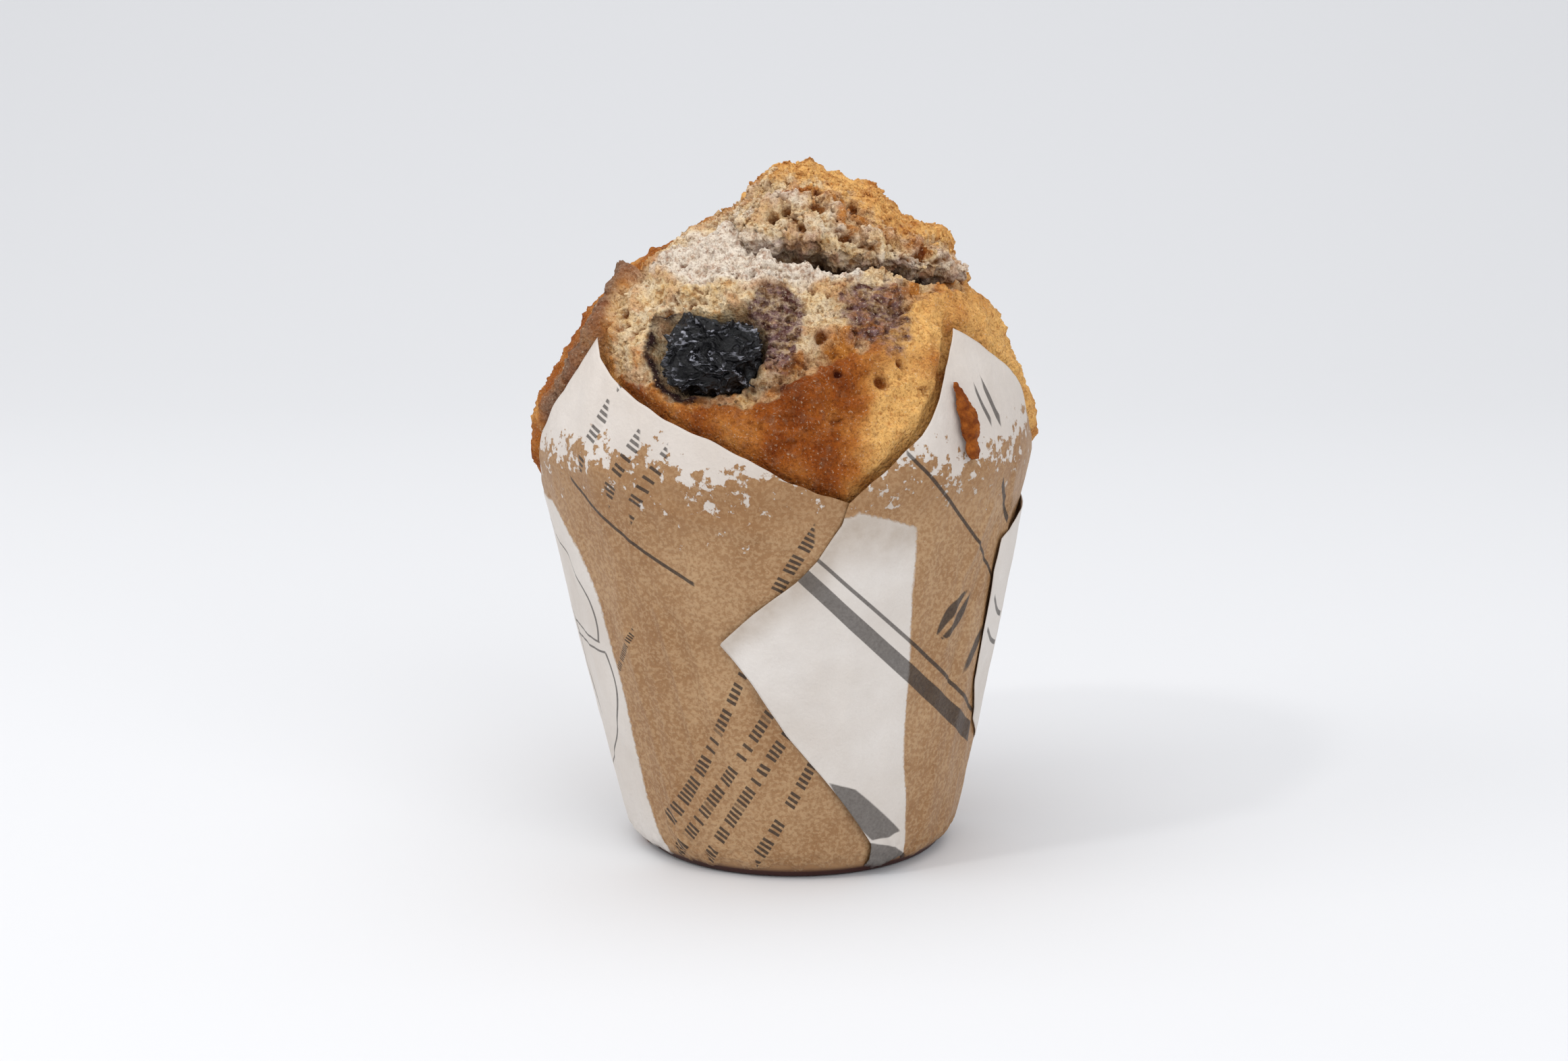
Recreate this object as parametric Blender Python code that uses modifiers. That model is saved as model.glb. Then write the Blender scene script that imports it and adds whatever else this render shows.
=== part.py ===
"""A blueberry muffin with a burst crown, baked in a folded tulip case of greaseproof paper.

One square of paper is pressed into a cup: its corners stand up as four petals, and the
spare paper between two petals lies in a flat pleat.  The muffin fills the cup, swells over
the paper between the petals, and its top has burst into a torn cap above a flat lip.

Metres, +Z up, origin on the table at the middle of the footprint, front towards -Y.
Azimuths are in degrees from the front, positive towards +X.
"""

import math

import bmesh
import bpy
from mathutils import Matrix, Vector, noise

MM = 0.001

# Driving dimensions.
FOOT_RADIUS = 23.6 * MM  # flat underside of the paper case
HEEL_RADIUS = 26.2 * MM  # where the wall would meet the table
SHOULDER_RADIUS = 40.4 * MM  # widest part of the crown
SHOULDER_HEIGHT = 66.0 * MM  # centre of the crown's dome
HEEL_ROUNDING = 4.5 * MM
WALL_CURVE = 0.92  # exponent of the wall's slight belly
FOOT_SHIFT = 1.6 * MM  # the foot stands this far to +X of the crown

PAPER_THICKNESS = 0.5 * MM
PAPER_GAP = 0.4 * MM  # clearance between paper and muffin
PLEAT_STEP = 0.6 * MM  # a pleat stands this far proud of the paper under it
PLEAT_REACH = 72.0  # degrees over which the columns lean to follow a pleat

APEX = Vector((4.4 * MM, 1.0 * MM, 112.6 * MM))
CAP_CENTRE = Vector((8.5 * MM, 1.0 * MM))
CAP_LEFT = 17.0 * MM
CAP_RIGHT = 20.0 * MM
CAP_FRONT = 24.0 * MM
CAP_BACK = 22.0 * MM
CAP_FACE = 0.42  # share of the cap's half-width that its steep face takes
CAP_FALL = Vector((0.5, 0.5))  # slope of the cap's top down to the right and to the back
CAP_RISE = Vector((0.30, 0.25))  # slope of its top up to the apex from the left and the front
LIP_HEIGHT = 98.5 * MM  # the flat lip in front of the cap, at its left end
LIP_FALL = 0.12  # slope of the lip down to the right
LIP_CLIMB = 0.6  # slope up to the left of its left end
LIP_LEFT_END = -8.0 * MM
LIP_FRONT = -24.0 * MM
LIP_DEPTH = 19.0 * MM  # behind this depth nothing of the lip is left
LIP_TILT = 0.10  # slope of the lip up towards the cap
LEFT_FLATTENING = 3.2 * MM
LEFT_EDGE = -5.0 * MM  # the flattening starts here and is whole 15 mm further left
LEFT_BLEND = 15.0 * MM
SIDE_RADIUS = 37.0 * MM  # outside this radius the side keeps its full width
CRUST_LUMPS = 0.7 * MM
LUMP_SPACING = 9.0 * MM
LUMPS_START = 88.0 * MM  # above the petals the crust is uneven
LUMPS_BLEND = 6.0 * MM
PRESS_MARGIN = 1.0 * MM  # the paper presses the muffin up to this far above its rim
PRESS_BLEND = 3.0 * MM  # above that the muffin swells out over this height

# The crack under the cap, from its wide left end: (azimuth, height, half its opening).
CRACK = [(-24, 98.6, 0.6), (-16, 98.9, 2.1), (-4, 98.4, 2.3), (10, 97.8, 2.0), (24, 97.1, 1.7),
         (38, 96.2, 1.4), (52, 95.0, 1.1), (63, 93.9, 0.8), (72, 93.0, 0.5)]
CRACK_DEPTH = 0.3 * MM  # the crack's middle lies this far under the crust
CRACK_SEGMENTS = 4

BERRY_SIZE = Vector((15.4, 12.0, 9.0)) * MM  # across, up the crust, through
BERRY_AZIMUTH = -19.0
BERRY_SLOPE = 29.0  # elevation of the berry seen from the dome's centre
BERRY_DEPTH = 0.8 * MM  # its middle lies this far under the crust line
BERRY_CLEARANCE = 0.35 * MM
BERRY_WRINKLES = 0.5 * MM

SHARD_LENGTH = 12.4 * MM
SHARD_WIDTH = 3.4 * MM
SHARD_DEPTH = 2.2 * MM
SHARD_AZIMUTH = 43.5
SHARD_HEIGHT = 74.4 * MM
SHARD_LEAN = 9.0  # degrees that its top leans towards the petal's edge

# Rim of the paper: (azimuth, height) at each petal's tip, each valley and the bends between.
RIM = [
    (-105, 56.0), (-90, 58.0), (-79, 61.0), (-71, 69.5), (-64, 76.0), (-58, 80.8), (-54, 85.7),
    (-49, 82.6), (-43, 80.0), (-27, 75.6), (-8, 70.4), (14, 63.5), (26, 70.4), (37, 78.0),
    (41, 82.4), (48, 87.8), (57, 85.0), (71, 79.1), (81, 71.3), (95, 63.0), (108, 58.0),
    (122, 66.0), (136, 76.0), (146, 84.0), (156, 77.0), (170, 67.0), (183, 59.0), (196, 67.0),
    (210, 77.0), (221, 84.5), (231, 77.0), (243, 65.0),
]

# Each pleat's free edge, from the foot up to the valley of the rim: (height, azimuth).
PLEATS = [
    [(0, 34), (3.2, 32), (12.5, 20), (19, 11), (30.6, -4), (40.9, -16), (50.7, 0), (63.5, 14)],
    [(0, 122), (18, 104), (33, 90), (45, 99), (58, 108)],
    [(0, 198), (20, 180), (36, 165), (46, 173), (59, 183)],
    [(0, -88), (20, -106), (36, -120), (46, -112), (56, -105)],
]

COLUMN_STEP = 6.0  # widest spacing of the columns round the paper, in degrees
PAPER_ROWS = 11  # rows from the heel to the rim
MUFFIN_COLUMNS = 56
CROWN_RINGS = 26
WALL_RINGS = 9


def clamp(value, low=0.0, high=1.0):
    return max(low, min(high, value))


def smooth_step(value):
    value = clamp(value)
    return value * value * (3 - 2 * value)


def along(points, at):
    """The second value of a list of pairs, read at a first value, with straight runs between."""
    for (a, low), (b, high) in zip(points, points[1:]):
        if at <= b:
            return low + (high - low) * clamp((at - a) / (b - a))
    return points[-1][1]


def rim_height(azimuth):
    """Height of the paper's rim, which repeats every full turn."""
    first = RIM[0][0]
    turn = first + (azimuth - first) % 360.0
    return along([*RIM, (first + 360.0, RIM[0][1])], turn) * MM


def outer_radius(height):
    """Radius of the plain cup: the rounded heel, the leaning wall, then the crown's dome."""
    rise = clamp(height / SHOULDER_HEIGHT) ** WALL_CURVE
    wall = HEEL_RADIUS + (SHOULDER_RADIUS - HEEL_RADIUS) * rise
    if height > SHOULDER_HEIGHT:
        above = min(height - SHOULDER_HEIGHT, SHOULDER_RADIUS)
        return math.sqrt(SHOULDER_RADIUS**2 - above**2)
    drop = clamp(1 - height / HEEL_ROUNDING)
    return wall - (HEEL_RADIUS - FOOT_RADIUS) * (1 - math.sqrt(1 - drop * drop))


def foot_shift(height):
    return FOOT_SHIFT * clamp(1 - height / SHOULDER_HEIGHT)


def placed(azimuth, radius, height):
    """The point at an azimuth, radius and height, with the foot's shift to one side."""
    a = math.radians(azimuth)
    return Vector((radius * math.sin(a) + foot_shift(height), -radius * math.cos(a), height))


def loft(name, rings, close_top):
    """A mesh through rings of points that start at one point, the foot's centre."""
    mesh = bpy.data.meshes.new(name)
    shape = bmesh.new()
    centre = shape.verts.new(rings[0])
    rows = [[shape.verts.new(point) for point in ring] for ring in rings[1:]]
    count = len(rows[0])
    for i in range(count):
        j = (i + 1) % count
        shape.faces.new((centre, rows[0][j], rows[0][i]))
        for low, high in zip(rows, rows[1:]):
            shape.faces.new((low[i], low[j], high[j], high[i]))
    if close_top is not None:
        top = shape.verts.new(close_top)
        for i in range(count):
            shape.faces.new((rows[-1][i], rows[-1][(i + 1) % count], top))
    shape.to_mesh(mesh)
    shape.free()
    part = bpy.data.objects.new(name, mesh)
    mesh.shade_smooth()
    return part


def material(name, colour, roughness):
    """A plain Principled finish."""
    made = bpy.data.materials.new(name)
    made.use_nodes = True
    shader = made.node_tree.nodes["Principled BSDF"]
    shader.inputs["Base Color"].default_value = (*colour, 1.0)
    shader.inputs["Roughness"].default_value = roughness
    return made


# The muffin.


def cover_height(azimuth):
    """Under this height the muffin is pressed in by the paper."""
    return max(rim_height(azimuth + turn) for turn in (-6.0, 0.0, 6.0)) + PRESS_MARGIN


def cap_share(x, y):
    """1 at the middle of the burst cap, 0 on its outline, negative outside."""
    dx = x - CAP_CENTRE.x
    dy = y - CAP_CENTRE.y
    across = dx / (CAP_RIGHT if dx > 0 else CAP_LEFT)
    deep = dy / (CAP_BACK if dy > 0 else CAP_FRONT)
    return 1 - math.hypot(across, deep)


def lip_height(x, y):
    """The lip falls gently to the right, and climbs away to the left and behind."""
    right = max(0.0, x - LIP_LEFT_END)
    left = max(0.0, LIP_LEFT_END - x)
    behind = max(0.0, y - LIP_FRONT - LIP_DEPTH)
    return LIP_HEIGHT - LIP_FALL * right + LIP_CLIMB * left + LIP_TILT * (y - LIP_FRONT) + behind


def cap_height(x, y):
    """Top of the cap: a ridge that falls to the right, steeper behind than in front."""
    dx = x - APEX.x
    dy = y - APEX.y
    across = CAP_FALL.x * dx if dx > 0 else -CAP_RISE.x * dx
    deep = CAP_FALL.y * dy if dy > 0 else -CAP_RISE.y * dy
    return APEX.z - across - deep


def crown_height(x, y, dome):
    """Height of the crown over (x, y), where the plain dome would have the height given."""
    side = smooth_step((LEFT_EDGE - x) / LEFT_BLEND)
    inward = 1 - smooth_step((math.hypot(x, y) - SIDE_RADIUS) / (SHOULDER_RADIUS - SIDE_RADIUS))
    ground = dome - LEFT_FLATTENING * side * inward
    ground = min(ground, lip_height(x, y))
    share = cap_share(x, y)
    rise = smooth_step(share / CAP_FACE) * max(0.0, cap_height(x, y) - ground)
    return ground + rise


def crown_point(azimuth, radius, height):
    """A point of the crown, with its uneven crust."""
    point = placed(azimuth, radius, height)
    point.z = crown_height(point.x, point.y, height)
    lump = noise.noise(point / LUMP_SPACING) * CRUST_LUMPS
    outward = (point - Vector((0, 0, SHOULDER_HEIGHT))).normalized()
    return point + outward * lump * smooth_step((point.z - LUMPS_START) / LUMPS_BLEND)


def build_muffin():
    """Foot, wall pressed by the paper, and the crown, closed at its apex."""
    inset = PAPER_THICKNESS + PAPER_GAP
    azimuths = [360.0 * i / MUFFIN_COLUMNS for i in range(MUFFIN_COLUMNS)]
    rings = [Vector((FOOT_SHIFT, 0, inset))]
    rings.append([placed(a, FOOT_RADIUS - 2.5 * MM, inset) for a in azimuths])
    low = inset + 1.2 * MM
    for i in range(WALL_RINGS):
        height = low + (SHOULDER_HEIGHT - low) * i / WALL_RINGS
        rings.append([placed(a, outer_radius(height) - inset, height) for a in azimuths])
    for i in range(CROWN_RINGS):
        lift = math.radians(90.0 * i / CROWN_RINGS)
        radius = SHOULDER_RADIUS * math.cos(lift)
        height = SHOULDER_HEIGHT + SHOULDER_RADIUS * math.sin(lift)
        ring = []
        for a in azimuths:
            pressed = 1 - smooth_step((height - cover_height(a)) / PRESS_BLEND)
            shrink = 1 - inset * pressed / SHOULDER_RADIUS
            above = (height - SHOULDER_HEIGHT) * shrink
            ring.append(crown_point(a, radius * shrink, SHOULDER_HEIGHT + above))
        rings.append(ring)
    top = crown_point(0.0, 0.0, SHOULDER_HEIGHT + SHOULDER_RADIUS)
    return loft("muffin", rings, top)


# The blueberry and its pocket.


def berry_frame():
    """Centre of the berry, with its own directions: across, up the crust and outwards."""
    azimuth = math.radians(BERRY_AZIMUTH)
    slope = math.radians(BERRY_SLOPE)
    flat = Vector((math.sin(azimuth), -math.cos(azimuth), 0))
    out = flat * math.cos(slope) + Vector((0, 0, math.sin(slope)))
    across = Vector((math.cos(azimuth), math.sin(azimuth), 0))
    centre = Vector((0, 0, SHOULDER_HEIGHT)) + out * (SHOULDER_RADIUS - BERRY_DEPTH)
    return centre, across, out.cross(across), out


def build_berry(name, growth, wrinkles):
    """A squashed ball from a UV sphere, pinched by a few long wrinkles."""
    bpy.ops.mesh.primitive_uv_sphere_add(segments=20, ring_count=12, radius=0.5)
    berry = bpy.context.object
    berry.name = name
    berry.data.name = name
    centre, across, up, out = berry_frame()
    for vertex in berry.data.vertices:
        unit = vertex.co * 2
        crease = wrinkles * noise.noise(Vector((unit.x * 2.2, unit.y * 1.1, unit.z * 2.2)))
        size = [(length / 2 + growth + crease) for length in BERRY_SIZE]
        vertex.co = (
            centre + across * unit.x * size[0] + up * unit.y * size[1] + out * unit.z * size[2]
        )
    berry.data.shade_smooth()
    return berry


def build_crack():
    """A tapered, curved rod that opens the crack under the cap."""
    data = bpy.data.curves.new("crack_path", "CURVE")
    data.dimensions = "3D"
    data.bevel_depth = 1.0
    data.bevel_resolution = 1
    data.use_fill_caps = True
    path = data.splines.new("NURBS")
    path.points.add(len(CRACK) - 1)
    path.use_endpoint_u = True
    path.order_u = 3
    path.resolution_u = CRACK_SEGMENTS
    for point, (azimuth, height, half) in zip(path.points, CRACK):
        above = height * MM - SHOULDER_HEIGHT
        radius = math.sqrt(SHOULDER_RADIUS**2 - above**2) - CRACK_DEPTH
        point.co = (*placed(azimuth, radius, height * MM), 1.0)
        point.radius = half * MM
    rod = bpy.data.objects.new("crack_path", data)
    bpy.context.scene.collection.objects.link(rod)
    bpy.context.view_layer.update()
    mesh = bpy.data.meshes.new_from_object(rod.evaluated_get(bpy.context.evaluated_depsgraph_get()))
    bpy.data.objects.remove(rod)
    shape = bmesh.new()
    shape.from_mesh(mesh)
    bmesh.ops.remove_doubles(shape, verts=shape.verts, dist=0.01 * MM)
    shape.to_mesh(mesh)
    shape.free()
    return bpy.data.objects.new("crack", mesh)


def cut(part, cutter):
    """Cuts with an exact Boolean, and keeps the cutter as a hidden helper."""
    knife = part.modifiers.new(cutter.name, "BOOLEAN")
    knife.operation = "DIFFERENCE"
    knife.object = cutter
    cutter.hide_render = True
    cutter.display_type = "WIRE"


# The paper case.


def pleat_azimuth(pleat, height):
    return along(pleat, height / MM)


def paper_columns():
    """Azimuths of the columns at the rim, two close ones at each pleat's free edge."""
    fixed = sorted(azimuth for azimuth, _ in RIM)
    valleys = [pleat[-1][1] % 360.0 for pleat in PLEATS]
    columns = []
    for i, start in enumerate(fixed):
        end = fixed[i + 1] if i + 1 < len(fixed) else fixed[0] + 360.0
        steps = max(1, math.ceil((end - start) / COLUMN_STEP))
        columns += [start + (end - start) * k / steps for k in range(steps)]
    for valley in valleys:
        near = min(range(len(columns)), key=lambda i: abs((columns[i] - valley + 180) % 360 - 180))
        columns[near] -= 0.45
        columns.insert(near + 1, columns[near] + 0.9)
    return columns


def pleat_lean(column, height):
    """How far a column leans round the cup, so that it follows the nearest pleat's edge."""
    lean = 0.0
    for pleat in PLEATS:
        valley = pleat[-1][1]
        away = abs((column - valley + 180.0) % 360.0 - 180.0)
        share = clamp(1 - away / PLEAT_REACH)
        lean += share * (pleat_azimuth(pleat, height) - valley)
    return lean


def pleat_offset(column):
    """Each panel starts on top of the one before it, and runs down under the next."""
    starts = sorted(pleat[-1][1] % 360.0 for pleat in PLEATS)
    turn = column % 360.0
    before = max((s for s in starts if s <= turn), default=starts[-1] - 360.0)
    after = min((s for s in starts if s > turn), default=starts[0] + 360.0)
    return PLEAT_STEP * (1 - (turn - before) / (after - before))


def build_paper():
    """An open sheet from the foot's centre to the petals, given its thickness by Solidify."""
    columns = paper_columns()
    rings = [Vector((FOOT_SHIFT, 0, 0))]
    for share in (0.55, 1.0):
        radius = FOOT_RADIUS * share
        rings.append([placed(c + pleat_lean(c, 0.0), radius, 0.0) for c in columns])
    heel = [0.18, 0.55, 1.0]
    wall = [(i + 1) / PAPER_ROWS for i in range(PAPER_ROWS)]
    for part, shares in ((0, heel), (1, wall)):
        for share in shares:
            ring = []
            for c in columns:
                top = rim_height(c)
                height = HEEL_ROUNDING * share if part == 0 else (
                    HEEL_ROUNDING + (top - HEEL_ROUNDING) * share
                )
                proud = pleat_offset(c) * clamp(height / HEEL_ROUNDING)
                azimuth = c + pleat_lean(c, height)
                ring.append(placed(azimuth, outer_radius(height) + proud, height))
            rings.append(ring)
    case = loft("paper_case", rings, None)
    wall = case.modifiers.new("thickness", "SOLIDIFY")
    wall.thickness = PAPER_THICKNESS
    wall.offset = -1.0
    return case


# The shard of crust stuck to the right petal.


def build_shard():
    """A long splinter, pointed above and ragged below, lying on the petal."""
    azimuth = math.radians(SHARD_AZIMUTH)
    above = SHARD_HEIGHT - SHOULDER_HEIGHT
    tilt = math.asin(above / SHOULDER_RADIUS)
    flat = Vector((math.sin(azimuth), -math.cos(azimuth), 0))
    across = Vector((math.cos(azimuth), math.sin(azimuth), 0))
    out = flat * math.cos(tilt) + Vector((0, 0, math.sin(tilt)))
    up = out.cross(across)
    lean = math.radians(SHARD_LEAN)
    spine = up * math.cos(lean) - across * math.sin(lean)
    side = across * math.cos(lean) + up * math.sin(lean)
    surface = SHOULDER_RADIUS + PLEAT_STEP + 0.4 * MM
    widths = [(0.0, 0.18), (0.18, 0.62), (0.42, 1.0), (0.62, 0.92), (0.82, 0.66), (0.96, 0.5)]
    rings = []
    for share, width in widths:
        along_spine = spine * SHARD_LENGTH * (0.5 - share)
        sag = (SHARD_LENGTH * (0.5 - share)) ** 2 / (2 * SHOULDER_RADIUS)
        base = Vector((0, 0, SHOULDER_HEIGHT)) + out * (surface - sag) + along_spine
        half = SHARD_WIDTH * width / 2
        ring = []
        for i in range(8):
            turn = math.radians(45.0 * i)
            ring.append(
                base
                + side * half * math.cos(turn)
                + out * SHARD_DEPTH * width * (0.5 + 0.5 * math.sin(turn))
            )
        rings.append(ring)
    first = sum(rings[0], Vector()) / 8 + spine * 0.3 * MM
    last = sum(rings[-1], Vector()) / 8 - spine * 0.5 * MM
    return loft("crust_shard", [first, *rings], last)


def recalculate_normals(part):
    shape = bmesh.new()
    shape.from_mesh(part.data)
    bmesh.ops.recalc_face_normals(shape, faces=shape.faces)
    shape.to_mesh(part.data)
    shape.free()


def to_origin(parts):
    """The move that puts the middle of the whole outline over the origin."""
    bpy.context.view_layer.update()
    graph = bpy.context.evaluated_depsgraph_get()
    corners = []
    for part in parts:
        shown = part.evaluated_get(graph)
        corners += [part.matrix_world @ Vector(corner) for corner in shown.bound_box]
    shift = Vector((0, 0, 0))
    for axis in (0, 1):
        values = [corner[axis] for corner in corners]
        shift[axis] = -(min(values) + max(values)) / 2
    return shift


def main():
    for old in list(bpy.data.objects):
        bpy.data.objects.remove(old)
    parts = bpy.data.collections.new("blueberry_muffin")
    cutters = bpy.data.collections.new("cutters")
    bpy.context.scene.collection.children.link(parts)
    bpy.context.scene.collection.children.link(cutters)

    muffin = build_muffin()
    case = build_paper()
    shard = build_shard()
    berry = build_berry("blueberry", 0.0, BERRY_WRINKLES)
    pocket = build_berry("berry_pocket", BERRY_CLEARANCE, BERRY_WRINKLES)
    for made in (berry, pocket):
        for holder in list(made.users_collection):
            holder.objects.unlink(made)
    finishes = {
        muffin: material("crust_and_crumb", (0.52, 0.28, 0.10), 0.75),
        case: material("greaseproof_paper", (0.42, 0.29, 0.18), 0.6),
        shard: material("crust_shard", (0.20, 0.06, 0.015), 0.6),
        berry: material("berry_skin", (0.012, 0.011, 0.016), 0.35),
    }
    for part, finish in finishes.items():
        parts.objects.link(part)
        part.data.materials.append(finish)
    crack = build_crack()
    for part in (muffin, shard, case, crack):
        recalculate_normals(part)
    for cutter in (pocket, crack):
        cutters.objects.link(cutter)
        cut(muffin, cutter)
    shift = to_origin([muffin, case, shard, berry])
    for part in (muffin, case, shard, berry, pocket, crack):
        part.data.transform(part.matrix_world)
        part.data.transform(Matrix.Translation(shift))


main()
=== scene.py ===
import math

import bpy
import numpy as np
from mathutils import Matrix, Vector


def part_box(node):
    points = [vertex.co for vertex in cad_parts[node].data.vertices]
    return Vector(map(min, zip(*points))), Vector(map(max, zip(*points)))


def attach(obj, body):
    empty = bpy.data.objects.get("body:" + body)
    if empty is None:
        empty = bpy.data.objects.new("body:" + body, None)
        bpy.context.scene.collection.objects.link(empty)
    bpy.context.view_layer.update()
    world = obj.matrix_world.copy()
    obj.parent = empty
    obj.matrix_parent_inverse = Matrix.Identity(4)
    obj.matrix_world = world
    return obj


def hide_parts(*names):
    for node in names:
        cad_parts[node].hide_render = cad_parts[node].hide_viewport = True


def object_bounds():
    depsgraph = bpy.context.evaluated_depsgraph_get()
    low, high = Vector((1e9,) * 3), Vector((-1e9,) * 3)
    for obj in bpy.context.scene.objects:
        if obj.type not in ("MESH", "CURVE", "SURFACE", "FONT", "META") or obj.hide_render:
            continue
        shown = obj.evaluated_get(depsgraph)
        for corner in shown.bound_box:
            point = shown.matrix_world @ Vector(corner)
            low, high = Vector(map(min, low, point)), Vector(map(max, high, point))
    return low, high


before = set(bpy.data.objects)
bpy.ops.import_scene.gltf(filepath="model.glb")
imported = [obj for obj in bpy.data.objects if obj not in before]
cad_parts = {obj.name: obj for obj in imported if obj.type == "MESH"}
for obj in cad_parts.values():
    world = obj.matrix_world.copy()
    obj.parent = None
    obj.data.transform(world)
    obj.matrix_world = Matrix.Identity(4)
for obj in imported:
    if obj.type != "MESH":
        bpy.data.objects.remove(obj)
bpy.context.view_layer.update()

# Shapes are worked out in millimetres round the muffin's upright axis, front towards -Y.
# A turn is an azimuth in degrees from the front, positive towards +X.
mm = 0.001
wholeLow, wholeHigh = [np.array(corner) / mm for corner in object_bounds()]
crownRadius = (wholeHigh[0] - wholeLow[0]) / 2
topHeight = wholeHigh[2]
shoulderHeight = topHeight * 0.5857  # centre of the crown's dome
quarterArc = crownRadius * math.pi / 2
# The cup's radius at the floor and above its rounded heel, the heel's height, the wall's power and its lean.
cup = {"foot": 23.6, "heel": 26.2, "rounding": 4.5, "belly": 0.92, "lean": 1.6}


def smooth(value):
    # rises from 0 to 1 with level ends: 3 t^2 - 2 t^3
    t = np.clip(value, 0, 1)
    return t * t * (3 - 2 * t)


def tone(red, green, blue):
    # a colour given from 0 to 255 as the eye sees it, turned into light
    part = np.array([red, green, blue]) / 255
    light = np.where(part > 0.04045, ((part + 0.055) / 1.055) ** 2.4, part / 12.92)
    return (*[float(value) for value in light], 1.0)


edgeDirections = np.array([
    (1, 1, 0), (-1, 1, 0), (1, -1, 0), (-1, -1, 0), (1, 0, 1), (-1, 0, 1),
    (1, 0, -1), (-1, 0, -1), (0, 1, 1), (0, -1, 1), (0, 1, -1), (0, -1, -1)], float)


def cellNumber(cell, seed):
    # a repeatable number from 0 to 1 for each whole-numbered cell
    mixed = (cell[..., 0] * 374761393 + cell[..., 1] * 668265263
             + cell[..., 2] * 1440662683 + seed * 1274126177) & 0xFFFFFFFF
    mixed = ((mixed ^ (mixed >> 13)) * 1274126177) & 0xFFFFFFFF
    return ((mixed ^ (mixed >> 16)) & 0xFFFFFF) / 0xFFFFFF


def ripple(points, size, seed=0):
    # gradient noise: each corner of the cell gives a slope, blended by 6t^5 - 15t^4 + 10t^3
    place = points / size + 0.37 * seed
    base = np.floor(place).astype(np.int64)
    inside = place - base
    blend = inside ** 3 * (inside * (inside * 6 - 15) + 10)
    total = np.zeros(len(points))
    for corner in range(8):
        step = np.array([(corner >> 2) & 1, (corner >> 1) & 1, corner & 1])
        pick = (cellNumber(base + step, seed) * 11.999).astype(int)
        slope = (edgeDirections[pick] * (inside - step)).sum(-1)
        total += slope * np.prod(np.where(step == 1, blend, 1 - blend), axis=-1)
    return total


def rough(points, size, layers=3, seed=0, fade=0.5):
    # layers of noise, each half as large and weaker by fade
    total = np.zeros(len(points))
    for layer in range(layers):
        total += ripple(points, size / 2 ** layer, seed + 13 * layer) * fade ** layer
    return total


def unsettled(points, size, reach, seed=0):
    # the same points, each pushed about by three noises, so that round things come out ragged
    return points + reach * np.stack([rough(points, size, 2, seed + axis) for axis in range(3)], axis=-1)


def web(points, size, layers=3, seed=0):
    # thin crests round soft hollows: highest where layered noise crosses zero
    return 0.5 - 2.4 * np.abs(rough(points, size, layers, seed, 0.55))


def holes(points, spacing, share, smallest, largest, seed=0):
    # round pores: one in a share of the cells, 1 at a pore's middle and 0 at its edge
    base = np.floor(points / spacing).astype(np.int64)
    deepest = np.zeros(len(points))
    for shift in np.ndindex(3, 3, 3):
        cell = base + np.array(shift) - 1
        middle = np.stack([cellNumber(cell, seed + axis) for axis in (1, 2, 3)], axis=-1)
        size = smallest + (largest - smallest) * cellNumber(cell, seed + 4) ** 2
        away = np.linalg.norm(points - (cell + middle) * spacing, axis=-1)
        depth = np.clip(1 - away / size, 0, 1) * (cellNumber(cell, seed + 5) < share)
        deepest = np.maximum(deepest, depth)
    return deepest


def lineDistance(flat, line):
    # least distance from points on a plane to a line of straight runs
    line = np.array(line, float)
    nearest = np.full(len(flat), 1e9)
    for start, end in zip(line, line[1:]):
        run = end - start
        share = np.clip(((flat - start) @ run) / (run @ run), 0, 1)
        nearest = np.minimum(nearest, np.linalg.norm(flat - start - share[:, None] * run, axis=1))
    return nearest


def outlineDistance(flat, outline):
    # signed distance to a closed outline, negative inside, by counting the sides crossed
    outline = np.array(outline, float)
    closed = np.vstack([outline, outline[:1]])
    inside = np.zeros(len(flat), bool)
    for start, end in zip(closed, closed[1:]):
        crosses = (start[1] > flat[:, 1]) != (end[1] > flat[:, 1])
        rise = end[1] - start[1] if end[1] != start[1] else 1e-9
        across = start[0] + (flat[:, 1] - start[1]) * (end[0] - start[0]) / rise
        inside ^= crosses & (flat[:, 0] < across)
    away = lineDistance(flat, closed)
    return np.where(inside, -away, away)


def patch(flat, middle, radii, lean=0.0):
    # 0 at the middle of a leaning oval and 1 on its edge
    turn = math.radians(lean)
    dx, dy = (flat - np.array(middle)).T
    across = dx * math.cos(turn) + dy * math.sin(turn)
    along = dy * math.cos(turn) - dx * math.sin(turn)
    return np.hypot(across / radii[0], along / radii[1])


def patches(flat, places, edge=0.0):
    # the strongest of several ovals: smooth(reach - distance + edge) times each one's strength
    deepest = np.zeros(len(flat))
    for middle, radii, lean, reach, strength in places:
        deepest = np.maximum(deepest, smooth(reach - patch(flat, middle, radii, lean) + edge) * strength)
    return deepest


def poreLayers(points, layers, crumb, seed):
    # the deepest of several sizes of pores, each with its own depth in crumb and in crust
    deepest = np.zeros(len(points))
    for number, (spacing, share, smallest, largest, inCrumb, inCrust) in enumerate(layers):
        depth = holes(points, spacing, share, smallest, largest, seed + 10 * number)
        deepest = np.maximum(deepest, depth * (inCrumb * crumb + inCrust * (1 - crumb)))
    return deepest


def tornCrumb(points, texture, seed):
    # height of torn crumb, as coarse webs + fine webs + clumps, and the clumps alone
    clump = rough(points, texture["clumpSize"], 2, seed + 12)
    height = web(points, texture["webSize"], 3, seed + 5) * texture["webDepth"]
    height += web(points, texture["threadSize"], 2, seed + 6) * texture["threadDepth"]
    return height + clump * texture["clumpDepth"], clump


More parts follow.
